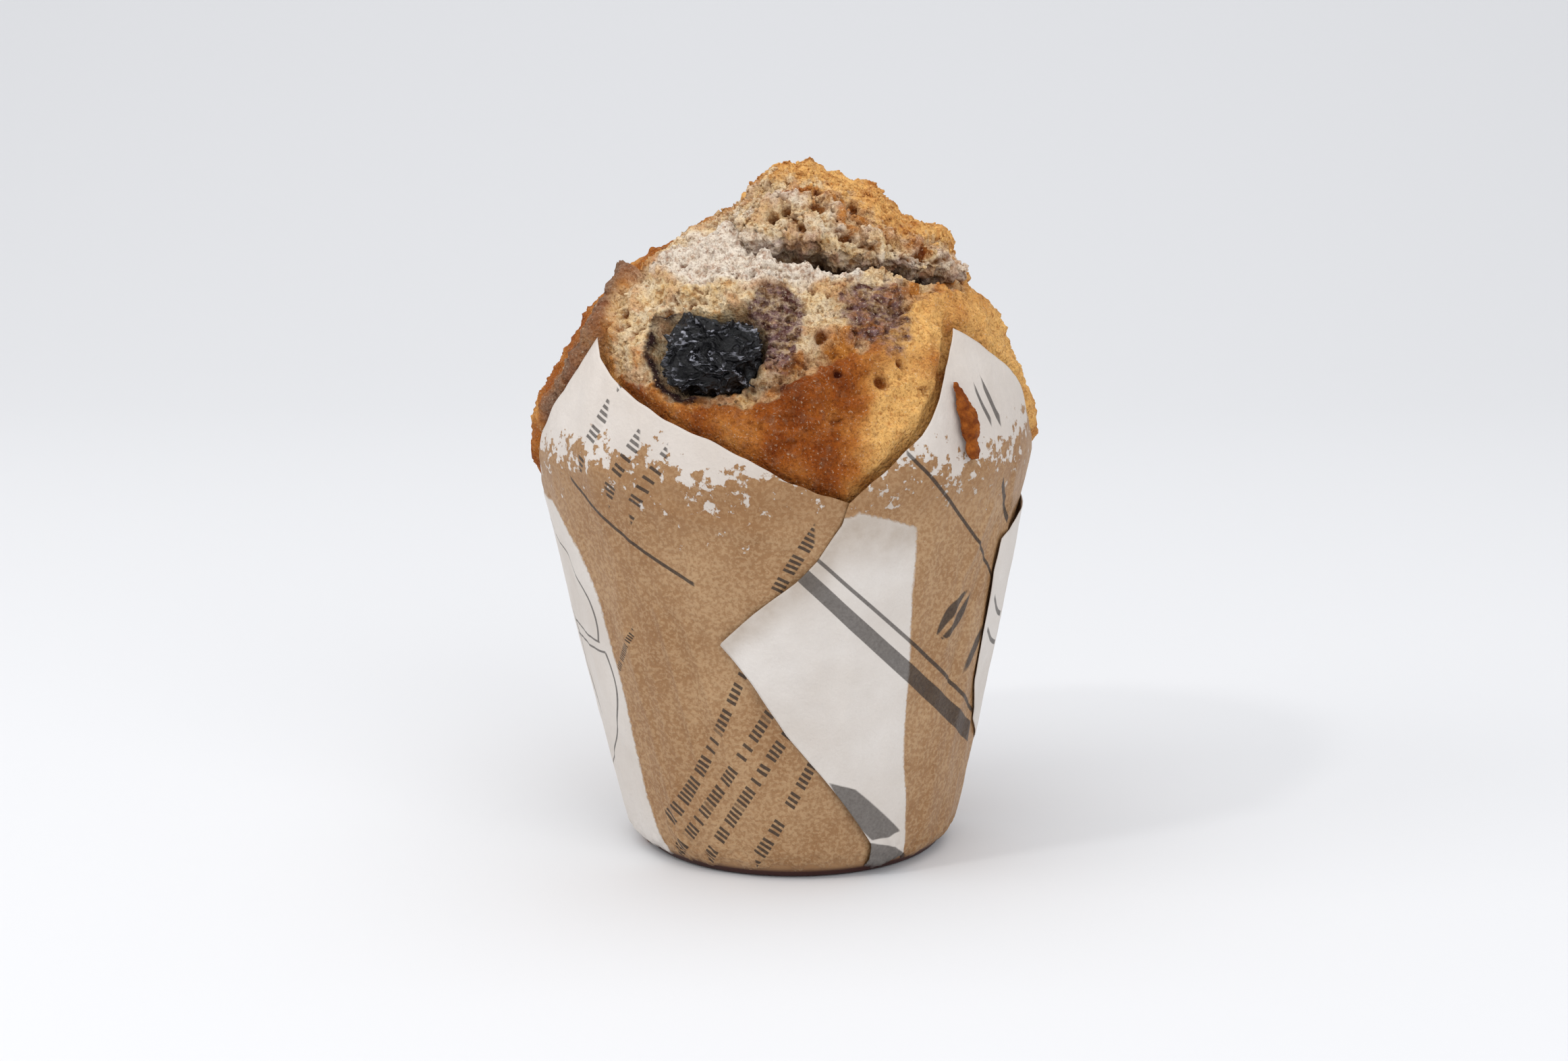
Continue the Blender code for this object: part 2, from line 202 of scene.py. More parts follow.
def standing(low, high):
    # a frame on the crown at the middle of a box: the middle, then across, up and outwards
    middle = (low + high) / 2
    out = middle - [0, 0, shoulderHeight]
    out /= np.linalg.norm(out)
    across = np.cross([0, 0, 1.0], out)
    across /= np.linalg.norm(across)
    return middle, across, np.cross(out, across), out


def gridNormals(grid, around):
    # outward directions of a grid whose rows run down and columns run anticlockwise
    down = np.gradient(grid, axis=0)
    if around:
        across = np.roll(grid, -1, axis=1) - np.roll(grid, 1, axis=1)
    else:
        across = np.gradient(grid, axis=1)
    normal = np.cross(down, across)
    return normal / np.maximum(np.linalg.norm(normal, axis=-1, keepdims=True), 1e-9)


def gridPiece(name, grid, around=True, topPole=None, lowPole=None, fields=None, print2d=None):
    # quads between the rows and columns of a grid, with a fan of triangles to each pole
    rows, columns = grid.shape[:2]
    index = np.arange(rows * columns).reshape(rows, columns)
    right = np.roll(index, -1, axis=1) if around else index[:, 1:]
    left = index if around else index[:, :-1]
    quads = np.stack([left[:-1], left[1:], right[1:], right[:-1]], axis=-1).reshape(-1, 4)
    faces = quads.tolist()
    points = grid.reshape(-1, 3)
    values = {key: np.asarray(value).reshape(-1) for key, value in (fields or {}).items()}
    for pole, row, flip in ((topPole, 0, False), (lowPole, rows - 1, True)):
        if pole is None:
            continue
        tip = np.full(columns, len(points))
        ring = [tip, right[row], left[row]] if flip else [tip, left[row], right[row]]
        faces += np.stack(ring, axis=-1).tolist()
        points = np.vstack([points, [pole]])
        values = {key: np.append(value, value[index[row]].mean()) for key, value in values.items()}
    mesh = bpy.data.meshes.new(name)
    mesh.from_pydata((points * mm).tolist(), [], faces)
    for key, value in values.items():
        mesh.attributes.new(key, "FLOAT", "POINT").data.foreach_set("value", value.astype(np.float32))
    if print2d is not None:
        corner = np.zeros(len(mesh.loops), np.int32)
        mesh.loops.foreach_get("vertex_index", corner)
        layer = mesh.uv_layers.new(name="print")
        layer.data.foreach_set("uv", print2d.reshape(-1, 2)[corner].astype(np.float32).ravel())
    mesh.shade_smooth()
    piece = bpy.data.objects.new(name, mesh)
    bpy.context.scene.collection.objects.link(piece)
    return piece


def hand(piece, node, material):
    # gives a piece its finish, its body and the node that it stands for
    piece.data.materials.append(material)
    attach(piece, "root")
    if node:
        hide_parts(node)


class Link:
    # one output of a node, on which + - * / add Math nodes
    def __init__(self, paint, socket):
        self.paint = paint
        self.socket = socket

    def maths(self, operation, *values, clamp=False):
        # a Math node on numbers or links
        settings = {"operation": operation, "use_clamp": clamp}
        return self.paint.add("ShaderNodeMath", settings, dict(enumerate(values)))

    def __add__(self, other):
        return self.maths("ADD", self, other)

    def __radd__(self, other):
        return self.maths("ADD", other, self)

    def __sub__(self, other):
        return self.maths("SUBTRACT", self, other)

    def __rsub__(self, other):
        return self.maths("SUBTRACT", other, self)

    def __mul__(self, other):
        return self.maths("MULTIPLY", self, other)

    def __truediv__(self, other):
        return self.maths("DIVIDE", self, other)

    def __abs__(self):
        return self.maths("ABSOLUTE", self)

    def clamped(self):
        # held between 0 and 1
        return self.maths("ADD", self, 0.0, clamp=True)

    def most(self, other):
        # the larger of the two at each place
        return self.maths("MAXIMUM", self, other)

    def least(self, other):
        # the smaller of the two at each place
        return self.maths("MINIMUM", self, other)

    def above(self, limit, soft):
        # 0 below the limit and 1 above it, with a soft step
        return self.maths("ADD", (self - limit) / soft, 0.5, clamp=True)


class Paint:
    # a material under construction
    def __init__(self, name):
        self.material = bpy.data.materials.new(name)
        self.material.use_nodes = True
        self.tree = self.material.node_tree
        self.shader = self.tree.nodes["Principled BSDF"]
        self.place = self.add("ShaderNodeTexCoord", output="Object")

    def add(self, kind, settings=None, inputs=None, output=0):
        # a node with its settings, its inputs given as values or links, and one output picked
        node = self.tree.nodes.new(kind)
        for key, value in (settings or {}).items():
            setattr(node, key, value)
        for key, value in (inputs or {}).items():
            if isinstance(value, Link):
                self.tree.links.new(value.socket, node.inputs[key])
            else:
                node.inputs[key].default_value = value
        return Link(self, node.outputs[output])

    def field(self, name):
        # a value stored at each vertex
        return self.add("ShaderNodeAttribute", {"attribute_name": name}, output="Fac")

    def noise(self, size, detail=3.0, roughness=0.55, place=None):
        # from 0 to 1 with a mean near 0.5, its largest features size mm apart
        values = {"Vector": place or self.place, "Scale": 1 / (size * mm), "Detail": detail,
                  "Roughness": roughness}
        return self.add("ShaderNodeTexNoise", None, values, "Fac")

    def cells(self, size):
        # distance to the nearest of scattered points, which are about size mm apart
        values = {"Vector": self.place, "Scale": 1 / (size * mm)}
        return self.add("ShaderNodeTexVoronoi", None, values, "Distance")

    def stretched(self, x, y, z):
        # the place with each axis multiplied by its own number
        return self.add("ShaderNodeMapping", None, {"Vector": self.place, "Scale": (x, y, z)})

    def mix(self, share, first, second, blend="MIX"):
        # first * (1 - share) + second * share, or first times second by that share
        settings = {"data_type": "RGBA", "blend_type": blend}
        return self.add("ShaderNodeMix", settings, {0: share, 6: first, 7: second}, 2)

    def relief(self, height, depth, strength):
        # a bump whose height from 0 to 1 stands for depth mm
        values = {"Height": height, "Distance": depth * mm, "Strength": strength}
        return self.add("ShaderNodeBump", None, values, "Normal")

    def finish(self, **inputs):
        # hands the named looks to the shader
        names = {"colour": "Base Color", "roughness": "Roughness", "normal": "Normal",
                 "specular": "Specular IOR Level"}
        for key, value in inputs.items():
            socket = self.shader.inputs[names[key]]
            if isinstance(value, Link):
                self.tree.links.new(value.socket, socket)
            else:
                socket.default_value = value
        return self.material


# Baked crumb and crust, shared by the muffin, its cap and the loose crumbs.
bakeLook = {
    "cream": tone(252, 235, 203),
    "yellow": tone(230, 188, 122),
    "toast": tone(196, 126, 54),
    "white": tone(246, 232, 214),
    "gold": tone(246, 190, 112),
    "amber": tone(196, 124, 54),
    "chestnut": tone(156, 80, 20),
    "burnt": tone(92, 36, 12),
    "purple": tone(94, 56, 46),
    "violet": tone(146, 116, 114),
    # berry juice stain, also used as painted shade in recesses
    "juiceAndShade": tone(46, 22, 22),
    "grey": tone(138, 110, 90),
    # painted shade in the pores
    "poreShade": tone(150, 108, 66),
    # pale specks: painted sparkle
    "glintSpeck": (1.0, 0.86, 0.62, 1.0),
    # the next two darken the relief's low places: painted shade
    "grainShade": tone(128, 76, 38),
    "hollowShade": tone(170, 116, 70),
    "blotchSize": 3.2,
    "spotSize": 1.1,
    "speckSize": 0.42,
    "pebbleSize": 0.9,
    "streakSize": 1.3,
    "reliefDepth": 0.91,
}


def bakedFinish():
    # crust from gold to burnt mixed with crumb from cream to toast by the crumb field, then stains, juice and
    # painted shade, painted shade in pores and relief hollows, and pale specks of painted sparkle
    look = bakeLook
    paint = Paint("bakedCrumb")
    coarse = paint.noise(look["blotchSize"], 4.0)
    medium = paint.noise(look["spotSize"], 4.0, 0.6)
    fine = paint.noise(look["speckSize"], 3.0, 0.65)
    crumb = paint.mix((coarse * 1.6 + medium * 1.4 - 1.0).clamped(), look["yellow"], look["cream"])
    toast = (paint.field("toast") * 0.9 + (coarse - 0.5) * 1.6 + (medium - 0.5) * 1.2 - 0.12).clamped()
    crumb = paint.mix(toast, crumb, look["toast"])
    pale = (paint.field("pale") + (coarse - 0.5) * 0.5).clamped()
    crumb = paint.mix(pale, crumb, look["white"])
    brown = paint.field("brown") + (coarse - 0.5) * 0.7 + (medium - 0.5) * 0.6 + (fine - 0.5) * 0.3
    crust = paint.mix(brown.above(0.25, 0.5), look["gold"], look["amber"])
    crust = paint.mix(brown.above(0.6, 0.4), crust, look["chestnut"])
    crust = paint.mix(brown.above(0.98, 0.4), crust, look["burnt"])
    crust = paint.mix((paint.field("grey") + (medium - 0.5) * 0.7).clamped(), crust, look["grey"])
    isCrumb = (paint.field("crumb") + (medium - 0.5) * 0.5).clamped()
    colour = paint.mix(isCrumb, crust, crumb)
    streak = paint.noise(look["streakSize"], 4.0, 0.65, paint.stretched(0.55, 0.55, 1.6))
    purple = (paint.field("purple") * (streak * 3.2 - 0.72)).clamped()
    stain = paint.mix(medium.above(0.53, 0.2), look["purple"], look["violet"])
    colour = paint.mix(purple, colour, stain)
    # juice stain and painted shade
    juiceAndShade = (paint.field("juiceAndShade") + (fine - 0.5) * 0.3).clamped()
    colour = paint.mix(juiceAndShade, colour, look["juiceAndShade"])
    # painted shade: the colour is multiplied darker inside the pores
    poreShade = (paint.field("poreShade") * 1.3).clamped()
    shade = paint.mix(poreShade, (1.0, 1.0, 1.0, 1.0), look["poreShade"])
    colour = paint.mix(1.0, colour, shade, "MULTIPLY")
    # pale specks where the fine noise, and so the bump, is high: painted sparkle, with a shinier finish there
    glintSpeck = fine.above(0.64, 0.08)
    # darker where the fine and the middle noise, and so the bump, are low: painted shade in the relief's
    # hollows
    dark = 1 - fine.above(0.42, 0.14)
    sunk = 1 - medium.above(0.42, 0.12)
    colour = paint.mix(glintSpeck * (0.3 + isCrumb * 0.2), colour, look["glintSpeck"])
    colour = paint.mix(dark * 0.5, colour, look["grainShade"], "MULTIPLY")
    colour = paint.mix(sunk * 0.5, colour, look["hollowShade"], "MULTIPLY")
    pebbles = paint.cells(look["pebbleSize"])
    grain = medium * 0.7 + fine * 0.7 - pebbles * 0.5
    return paint.finish(colour=colour, roughness=0.85 - glintSpeck * 0.4, specular=0.16,
                        normal=paint.relief(grain, look["reliefDepth"], 0.9))


def cupRadius(height):
    # wall: heel + (crown - heel) * share ^ belly, less a rounded heel; dome: sqrt(crown^2 - rise^2)
    height = np.asarray(height, float)
    share = np.clip(height / shoulderHeight, 0, 1)
    wall = cup["heel"] + (crownRadius - cup["heel"]) * share ** cup["belly"]
    drop = np.clip(1 - height / cup["rounding"], 0, 1)
    wall = wall - (cup["heel"] - cup["foot"]) * (1 - np.sqrt(1 - drop ** 2))
    above = np.clip(height - shoulderHeight, 0, crownRadius)
    dome = np.sqrt(np.maximum(crownRadius ** 2 - above ** 2, 0))
    return np.where(height > shoulderHeight, dome, wall)


def aroundAxis(turn, radius, height):
    # a point from its turn in degrees, radius and height, with the foot leaning to one side
    angle = np.radians(turn)
    lean = cup["lean"] * np.clip(1 - height / shoulderHeight, 0, 1)
    return np.stack([radius * np.sin(angle) + lean, -radius * np.cos(angle), height], axis=-1)


# Each petal's outline from one valley of the rim to the next, as (turn, height).
petalOutlines = {
    "left": [(-105, 57), (-92, 58.5), (-80, 60.8), (-74, 65), (-71, 70.5), (-67, 74), (-62, 77.6),
             (-58, 81.2), (-54, 86.0), (-50, 83.4), (-44, 80.9), (-38, 78.9), (-27, 75.6), (-17, 73.1),
             (-8, 70.4), (0, 67.2), (7, 65.2), (14, 63.5)],
    "right": [(14, 63.5), (19, 66.8), (26, 70.4), (31, 73), (37, 78), (41, 82.4), (48, 87.6), (57, 85),
              (71, 79.1), (81, 71.3), (93, 64), (106, 59.5)],
    "backRight": [(106, 59.5), (122, 66), (136, 76), (146, 84), (156, 77), (170, 67), (183, 59.5)],
    "backLeft": [(183, 59.5), (196, 67), (210, 77), (221, 84.5), (231, 77), (243, 65), (255, 57)],
}


def rimHeight(turn):
    # height of the paper's rim all the way round, straight between the outline's points
    turns, heights = np.array(sum(petalOutlines.values(), []), float).T
    return np.interp((np.asarray(turn) - turns[0]) % 360 + turns[0], turns, heights)


muffinShape = {
    "columns": 456,
    # rows of vertices, as (first, last, count), in mm of arc down the dome and in height down the wall
    "domeRows": [(0.6, 20, 26), (20.3, 57, 139), (57.5, 63, 10)],
    "wallRows": [(65.2, 50, 14), (44, 3, 7)],
    "inset": 1.9,  # under the paper
    "bulge": 0.7,  # where it swells over the rim
    "leftFall": 3.0,
    "lumpSize": 9.0,
    "lumps": 1.17,
    "crumbDepth": 0.8,
    "tornLip": 1.9,
    "pocketDepth": 5.4,
    "hollowDepth": 1.5,
    "grooveDepth": 1.5,
    "crackDepth": 5.0,
    "poreDepth": 1.3,
    # layers of pores, as (spacing, share of cells, smallest, largest, strength in crumb, strength in crust)
    "poreLayers": [(3.0, 0.5, 0.5, 1.7, 1.0, 0.0), (1.4, 0.6, 0.25, 0.8, 0.8, 0.0),
                   (3.4, 0.25, 0.3, 1.2, 0.0, 0.75)],
    "texture": {"webSize": 2.2, "webDepth": 0.55, "threadSize": 0.9, "threadDepth": 0.14,
                "clumpSize": 4.4, "clumpDepth": 1.7},
    "seed": 3,
}
# Places on the crown, as (across, up) in mm of arc from the top of the dome, front downwards.
crownPlaces = {
    "crumb": [(-26.7, -12.4), (-25.5, -15.5), (-29, -18.5), (-32.5, -21.5), (-34.5, -26), (-33.6, -33),
              (-28.6, -39.9), (-23.7, -45.4), (-18.7, -48.5), (-14.1, -49.4), (-7.6, -50.8),
              (-1.8, -49.7), (3.7, -46.1), (8.2, -44.3), (11.9, -41.8), (16.4, -38.4), (19.5, -34),
              (22.3, -28.4), (26, -22), (33, -13), (34, -4), (26, 6), (4, 12), (-12, 8), (-22, -2)],
    "pale": [(-6, -9), (-13, -11), (-20, -13), (-22.5, -18), (-18, -24), (-10, -28), (-2, -29.5),
             (7, -29), (13, -26), (7, -25.5), (1, -24.2), (-6, -20), (-6, -13)],
    "crack": [(-7.5, -19.6), (-5.2, -21.8), (1.2, -25), (6.6, -26.5), (13.6, -24.6), (17.9, -22.8),
              (22.4, -21.1), (28, -16.9), (31.5, -11.7), (24, -7), (10, -8), (-1, -13)],
    "tornEdge": [(-26.7, -12.4), (-26.2, -14.5), (-29, -17.7), (-32.6, -20.7), (-35.1, -23.5),
                 (-36.5, -28)],
    "greyEdge": [(-27, -12), (-31, -19), (-37, -22), (-44, -20), (-52, -20)],
    "groove": [(-13.9, -48.3), (-7.4, -49.0), (-1.8, -48.0), (2.9, -45.2), (6.6, -43.2), (11.1, -40.8)],
    "stain": [(9.2, -31.0), (14.4, -27.5), (20.2, -24.5), (22.6, -29.8), (22.4, -35.5), (18.5, -38.4),
              (11.5, -38.6), (10.5, -35.1)],
    "pocket": [(-25.4, -37.5), (-24.8, -33.1), (-22.7, -30.0), (-18.3, -31.2), (-12, -33.2), (-7, -33.8),
               (-3.8, -37.5), (-3.2, -43.5), (-7.5, -47.4), (-15, -47.9), (-21.2, -46.0), (-24.7, -41.8)],
    "hollow": ((-2.4, -37.6), (7.0, 8.8), -14.0),
    # single pores, as (across, up, size)
    "pores": [(6.8, -39.4, 1.3), (18.8, -44.1, 1.6), (21.5, -40.1, 1.0), (-21.0, -29.5, 1.1),
              (-27.5, -29.0, 1.3), (-16.5, -29.8, 0.9), (-28.8, -24.0, 1.0), (10.4, -45.2, 0.9),
              (2.0, -33.4, 0.8)],
    # ovals, as (middle, radii, lean in degrees, reach, strength)
    "purple": [((-6.1, -47.6), (3.2, 1.8), 0, 1.3, 0.8), ((-1.2, -43.2), (3.4, 3.2), 0, 1.25, 0.9),
               ((19.5, -37.2), (3.5, 2.0), 30, 1.3, 0.7)],
    "juiceAndShade": [((-7.0, -47.8), (6.5, 1.5), 0, 1.25, 0.6)],
    "browned": [((8, -48.5), (13, 5.5), 12, 1.35, 0.2), ((-13, -52), (18, 5.5), -28, 1.3, 0.06)],
}
crumbFields = ("crumb", "pale", "brown", "grey", "toast")
loose = {key: [] for key in ("points", "normals", *crumbFields)}


def remember(points, normals, fields, chosen):
    # keeps places where loose crumbs may lie
    loose["points"].append(points[chosen])
    loose["normals"].append(normals[chosen])
    for key in crumbFields:
        loose[key].append(fields[key][chosen])


def muffinGrid():
    # rows go down the dome by arc and on down the wall by height; columns are closest at the front
    shape = muffinShape
    spread = np.linspace(-math.pi, math.pi, shape["columns"], endpoint=False)
    turn = np.degrees(spread - 0.5 * np.sin(spread))
    domeArc = np.concatenate([np.linspace(*stretch) for stretch in shape["domeRows"]])
    wallHeight = np.concatenate([np.linspace(*stretch) for stretch in shape["wallRows"]])
    rise = math.pi / 2 - domeArc / crownRadius
    height = np.concatenate([shoulderHeight + crownRadius * np.sin(rise), wallHeight])
    arc = np.concatenate([domeArc, quarterArc + shoulderHeight - wallHeight])
    turns, heights = np.meshgrid(turn, height)
    angle = np.radians(turns)
    level = np.clip((heights - shoulderHeight) / crownRadius, 0, 1)
    flare = np.sqrt(1 - level ** 2)
    outward = np.stack([np.sin(angle) * flare, -np.cos(angle) * flare, level], axis=-1)
    aboveRim = heights - rimHeight(turns)
    covered = 1 - smooth((aboveRim + 0.5) / 4.0)
    swell = np.exp(-((aboveRim - 5.0) / 5.0) ** 2) * shape["bulge"]
    grid = aroundAxis(turns, cupRadius(heights), heights)
    grid = grid + outward * (swell - shape["inset"] * covered)[..., None]
    away = np.hypot(grid[..., 0], grid[..., 1])
    side = smooth((-grid[..., 0] - 5) / 15) * (1 - smooth((away - 37) / 3.4))
    facing = smooth((-58 - turns) / 20) * smooth((turns + 165) / 30)
    grid[..., 2] -= shape["leftFall"] * side * facing
    arcs = arc[:, None]
    flat = np.stack([arcs * np.sin(angle), -arcs * np.cos(angle)], axis=-1)
    return grid, outward.reshape(-1, 3), flat.reshape(-1, 2), 1 - covered.reshape(-1), turns.reshape(-1)


def browning(flat, turns, points, seed):
    # how dark the crust is baked: an even share and slow noise, more or less by place
    x, y = flat.T
    brown = 0.42 + rough(points, 10.0, 2, seed + 8) * 0.5
    brown += 0.22 * smooth((-38 - y) / 8) * smooth((20 - x) / 12)
    for oval in crownPlaces["browned"]:
        brown += patches(flat, [oval])
    brown -= 0.36 * smooth((x - 14) / 8) * smooth((y + 60) / 10)
    brown += 0.12 * smooth((-54 - y) / 6) * smooth((24 - np.abs(x)) / 10)
    brown += 0.16 * smooth((-x - 20) / 10)
    return brown + 0.15 * smooth((abs(turns) - 95) / 20)


def buildMuffin(material):
    # each vertex moves outwards by lumps + crumb or crust texture - pocket, hollow, groove, crack and pores
    shape = muffinShape
    places = crownPlaces
    seed = shape["seed"]
    grid, normals, flat, shown, turns = muffinGrid()
    points = grid.reshape(-1, 3)
    x, y = flat.T
    wander = rough(points, 5.0, 3, seed + 1)
    fray = rough(points, 1.3, 2, seed + 2)
    edge = outlineDistance(flat, places["crumb"]) + wander * 1.6 + fray * 0.9
    crumb = smooth(0.5 - edge / 0.9)
    lift = rough(points, shape["lumpSize"], 3, seed) * shape["lumps"] * shown
    lift -= crumb * shape["crumbDepth"]
    tear = lineDistance(flat, places["tornEdge"])
    lift += np.exp(-(tear / 2.6) ** 2) * (1 - crumb) * shape["tornLip"] * shown
    lift += np.exp(-(patch(flat, (-26.9, -12.0), (2.2, 2.2)) ** 2)) * (1 - crumb) * 1.6
    brink = outlineDistance(flat, places["pocket"]) + wander * 0.9 + fray * 0.4
    pocket = smooth((0.4 - brink) / 2.4)
    hollow = smooth((1 - patch(flat, *places["hollow"]) + 0.25 * wander) / 0.5)
    groove = np.exp(-(lineDistance(flat, places["groove"]) / 2.0) ** 2)
    under = outlineDistance(flat, places["crack"]) + fray * 0.7 + wander * 0.8
    crack = smooth(0.25 - under / 1.1)
    crackLip = np.exp(-((under - 1.2) / 1.3) ** 2)
    plain = (1 - pocket) * (1 - 0.8 * crack)
    ragged = unsettled(points, 1.5, 1.1, seed + 30)
    pores = poreLayers(ragged, shape["poreLayers"], crumb, seed + 40)
    for across, up, size in places["pores"]:
        away = patch(flat, (across, up), (size, size * 0.8))
        pores = np.maximum(pores, smooth(1.2 - 0.9 * away + fray * 0.2))
    pores *= plain * shown
    torn, clump = tornCrumb(points, shape["texture"], seed)
    cobbled = rough(points, 1.5, 3, seed + 7, 0.6) * 0.5 + rough(points, 3.5, 2, seed + 8) * 0.55
    cobbled -= 0.35 * smooth(rough(points, 2.4, 2, seed + 9) * 4 - 1.1)
    lift += shown * plain * (crumb * torn + (1 - crumb) * cobbled) - pores * shape["poreDepth"]
    lift -= pocket * shape["pocketDepth"] + hollow * shape["hollowDepth"]
    lift -= groove * shape["grooveDepth"] + crack * shape["crackDepth"] - crackLip * 0.5
    points = points + normals * lift[:, None]
    grid = points.reshape(grid.shape)

    pale = smooth(0.5 - (outlineDistance(flat, places["pale"]) + wander * 2.5) / 3.0)
    stain = smooth(0.5 - (outlineDistance(flat, places["stain"]) + wander * 1.5 + fray) / 2.0)
    purple = np.maximum(stain * 0.85, smooth(hollow * 2.6) * 0.95)
    purple = np.maximum(purple, patches(flat, places["purple"], wander))
    brinkLine = smooth(1 - np.abs(brink - 0.3) / 1.1)
    # juice stain along the pocket's brink and in the listed oval; painted shade deep in the berry's pocket
    # and in the right part of the crack
    juiceAndShade = np.maximum.reduce([
        brinkLine * smooth((-14 - x) / 4) * (0.95 + wander), brinkLine * smooth((x + 9) / 3) * 0.5,
        pocket * (0.35 + 0.4 * smooth((x + 20) / 8)), crack * smooth((x - 2) / 4) * 0.55,
        patches(flat, places["juiceAndShade"], wander)])
    brown = browning(flat, turns, points, seed)
    grey = smooth(1 - lineDistance(flat, places["greyEdge"]) / 6.5) * 0.9 * (1 - crumb)
    toast = smooth(1 + edge / 6.0) * 0.6 + 0.3 * smooth((x - 3) / 10) + groove * 0.3
    toast += 0.6 * smooth(clump * 4 - 0.2) - 0.25 * smooth(-clump * 4 - 0.1)
    # the pores' field darkens them as painted shade
    fields = {"crumb": crumb, "pale": pale, "purple": purple * (1 - pocket), "juiceAndShade": np.clip(juiceAndShade, 0, 1),
              "brown": brown, "grey": grey, "poreShade": np.clip(pores, 0, 1), "toast": toast}
    isOpen = (crumb > 0.6) & (plain > 0.9) & (purple < 0.1) & (y > -46) & (y < -4)
    remember(points, normals, fields, np.flatnonzero(isOpen))
    topPole = [0, 0, shoulderHeight + crownRadius - 3]
    piece = gridPiece("muffinCrumb", grid, True, topPole, [cup["lean"], 0, 1.2], fields)
    hand(piece, "muffin", material)
    print("muffin", len(piece.data.polygons))


capShape = {
    # outline from the left tip round the front, as (x, y, height of its edge)
    "outline": [(-9.6, -2, 103.8), (-8.4, -9, 103.3), (-7.2, -15, 102.6), (-5.4, -19.2, 101.6),
                (0.3, -21.3, 101.5), (6.5, -22.4, 100.3), (12.6, -21.5, 99.1), (18, -19, 97.9),
                (23, -15.4, 96.8), (27.2, -9, 95.6), (29.4, -1, 94.4), (28.5, 8, 94.2), (22, 17, 94.6),
                (12, 21.5, 96.6), (1, 18, 100.2), (-6.5, 9, 103.0)],
    # the silhouette of its top, as (x, height)
    "ridge": [(-10, 103.2), (-8.7, 105.4), (-6.2, 107.4), (-3.5, 109.4), (-2.6, 111.0), (-1, 111.6),
              (1.8, 112.0), (4.2, 112.6), (6.1, 111.6), (9.8, 109.6), (14.5, 107.8), (17.2, 105.6),
              (19.2, 103.4), (23.2, 102.4), (25.6, 101.8), (27.3, 98.8), (29, 95.2), (30, 93.5)],
    "middle": (9.0, -1.0),
    "columnsPerSide": 34,
    "faceRows": 140,
    "underRows": 26,
    # lower limit of the browned skin on its front, as (x, height)
    "crustLine": [(-10, 106), (-6, 108.5), (-3.5, 109.6), (-1.5, 110.4), (3, 109.6), (8.4, 108.0),
                  (12.4, 106.0), (15.7, 104.0), (18, 102.6), (20.3, 101.6), (24.3, 100.4), (27.7, 97.2)],
    # the wall under its brow, as (share of the way down, share inwards, mm down)
    "brow": [(0, 0, 0), (0.15, 0.015, 0.7), (0.5, 0.105, 2.9), (0.75, 0.22, 4.4), (1, 0.5, 6.5)],
    # pores of the torn face, as (x, height, radius across, radius up)
    "pores": [(5.3, 106.6, 1.7, 1.05), (10.8, 106.5, 0.9, 0.55), (1.8, 104.9, 1.5, 1.0),
              (3.1, 103.0, 1.0, 0.8), (-1.8, 105.2, 1.1, 0.7), (5.9, 109.0, 1.0, 0.5),
              (9.6, 101.6, 1.3, 0.8), (21.6, 99.0, 1.4, 1.2),
              (8.3, 102.9, 0.8, 0.6), (12.8, 100.2, 1.4, 0.7), (0.5, 106.6, 0.7, 0.5),
              (16.4, 100.8, 1.0, 0.9), (24.5, 97.6, 1.1, 0.8), (19.0, 98.2, 0.9, 0.7)],
    "poreLayers": [(2.3, 0.5, 0.4, 1.4, 1.0, 0.25), (1.2, 0.6, 0.22, 0.7, 0.8, 0.16)],
    "poreDepth": 1.35,
    "texture": {"webSize": 2.1, "webDepth": 0.58, "threadSize": 0.85, "threadDepth": 0.14,
                "clumpSize": 3.8, "clumpDepth": 1.3},
    "seed": 21,
}


def closedCurve(points, perSide):
    # a smooth loop: on each side b + (c-a)t/2 + (2a-5b+4c-d)t^2/2 + (3b-a-3c+d)t^3/2 of four points in turn
    points = np.array(points, float)
    t = (np.arange(perSide) / perSide)[None, :, None]
    a, b, c, d = (np.roll(points, step, 0)[:, None, :] for step in (1, 0, -1, -2))
    curve = 2 * b + (c - a) * t + (2 * a - 5 * b + 4 * c - d) * t ** 2 + (3 * b - a - 3 * c + d) * t ** 3
    return 0.5 * curve.reshape(-1, points.shape[1])


def capGrid():
    # rows go out from the middle to the edge, at edge + (ridge - edge) * (1 - share^power)^0.62, then under
    shape = capShape
    seed = shape["seed"]
    outline = closedCurve(shape["outline"], shape["columnsPerSide"])
    outline[:, 2] += rough(outline * [1, 1, 0.3], 3.4, 2, seed) * 1.3
    middle = np.array(shape["middle"])
    spokes = outline[:, :2] - middle
    spokes *= (1 + rough(outline * [1, 1, 0], 3.4, 2, seed + 1) * 0.05)[:, None]
    edge = outline[None, :, 2]
    share = 1 - (1 - np.linspace(0.004, 1, shape["faceRows"])) ** 1.25
    topFlat = middle + share[:, None, None] * spokes[None]
    sideways = np.abs(spokes[:, 0]) / np.linalg.norm(spokes, axis=1)
    fall = (1 - share[:, None] ** (2.3 + 14 * sideways ** 5)[None]) ** 0.62
    ridgeX, ridgeHeight = np.array(shape["ridge"]).T
    ridge = np.interp(topFlat[..., 0], ridgeX, ridgeHeight)
    top = np.dstack([topFlat, edge + np.maximum(ridge - edge, 0) * fall])
    back = np.linspace(0, 1, shape["underRows"] + 1)[1:, None]
    browShare, browInward, browDown = np.array(shape["brow"], float).T
    inward = np.interp(back, browShare, browInward) * (0.45 + 0.55 * smooth((outline[None, :, 0] + 3) / 9))
    underFlat = middle + (1 - inward)[..., None] * spokes[None]
    underneath = np.dstack([underFlat, edge - np.interp(back, browShare, browDown)])
    rows = np.concatenate([share, 1 + back[:, 0]])
    return np.concatenate([top, underneath]), np.repeat(rows[:, None], len(outline), axis=1).reshape(-1)


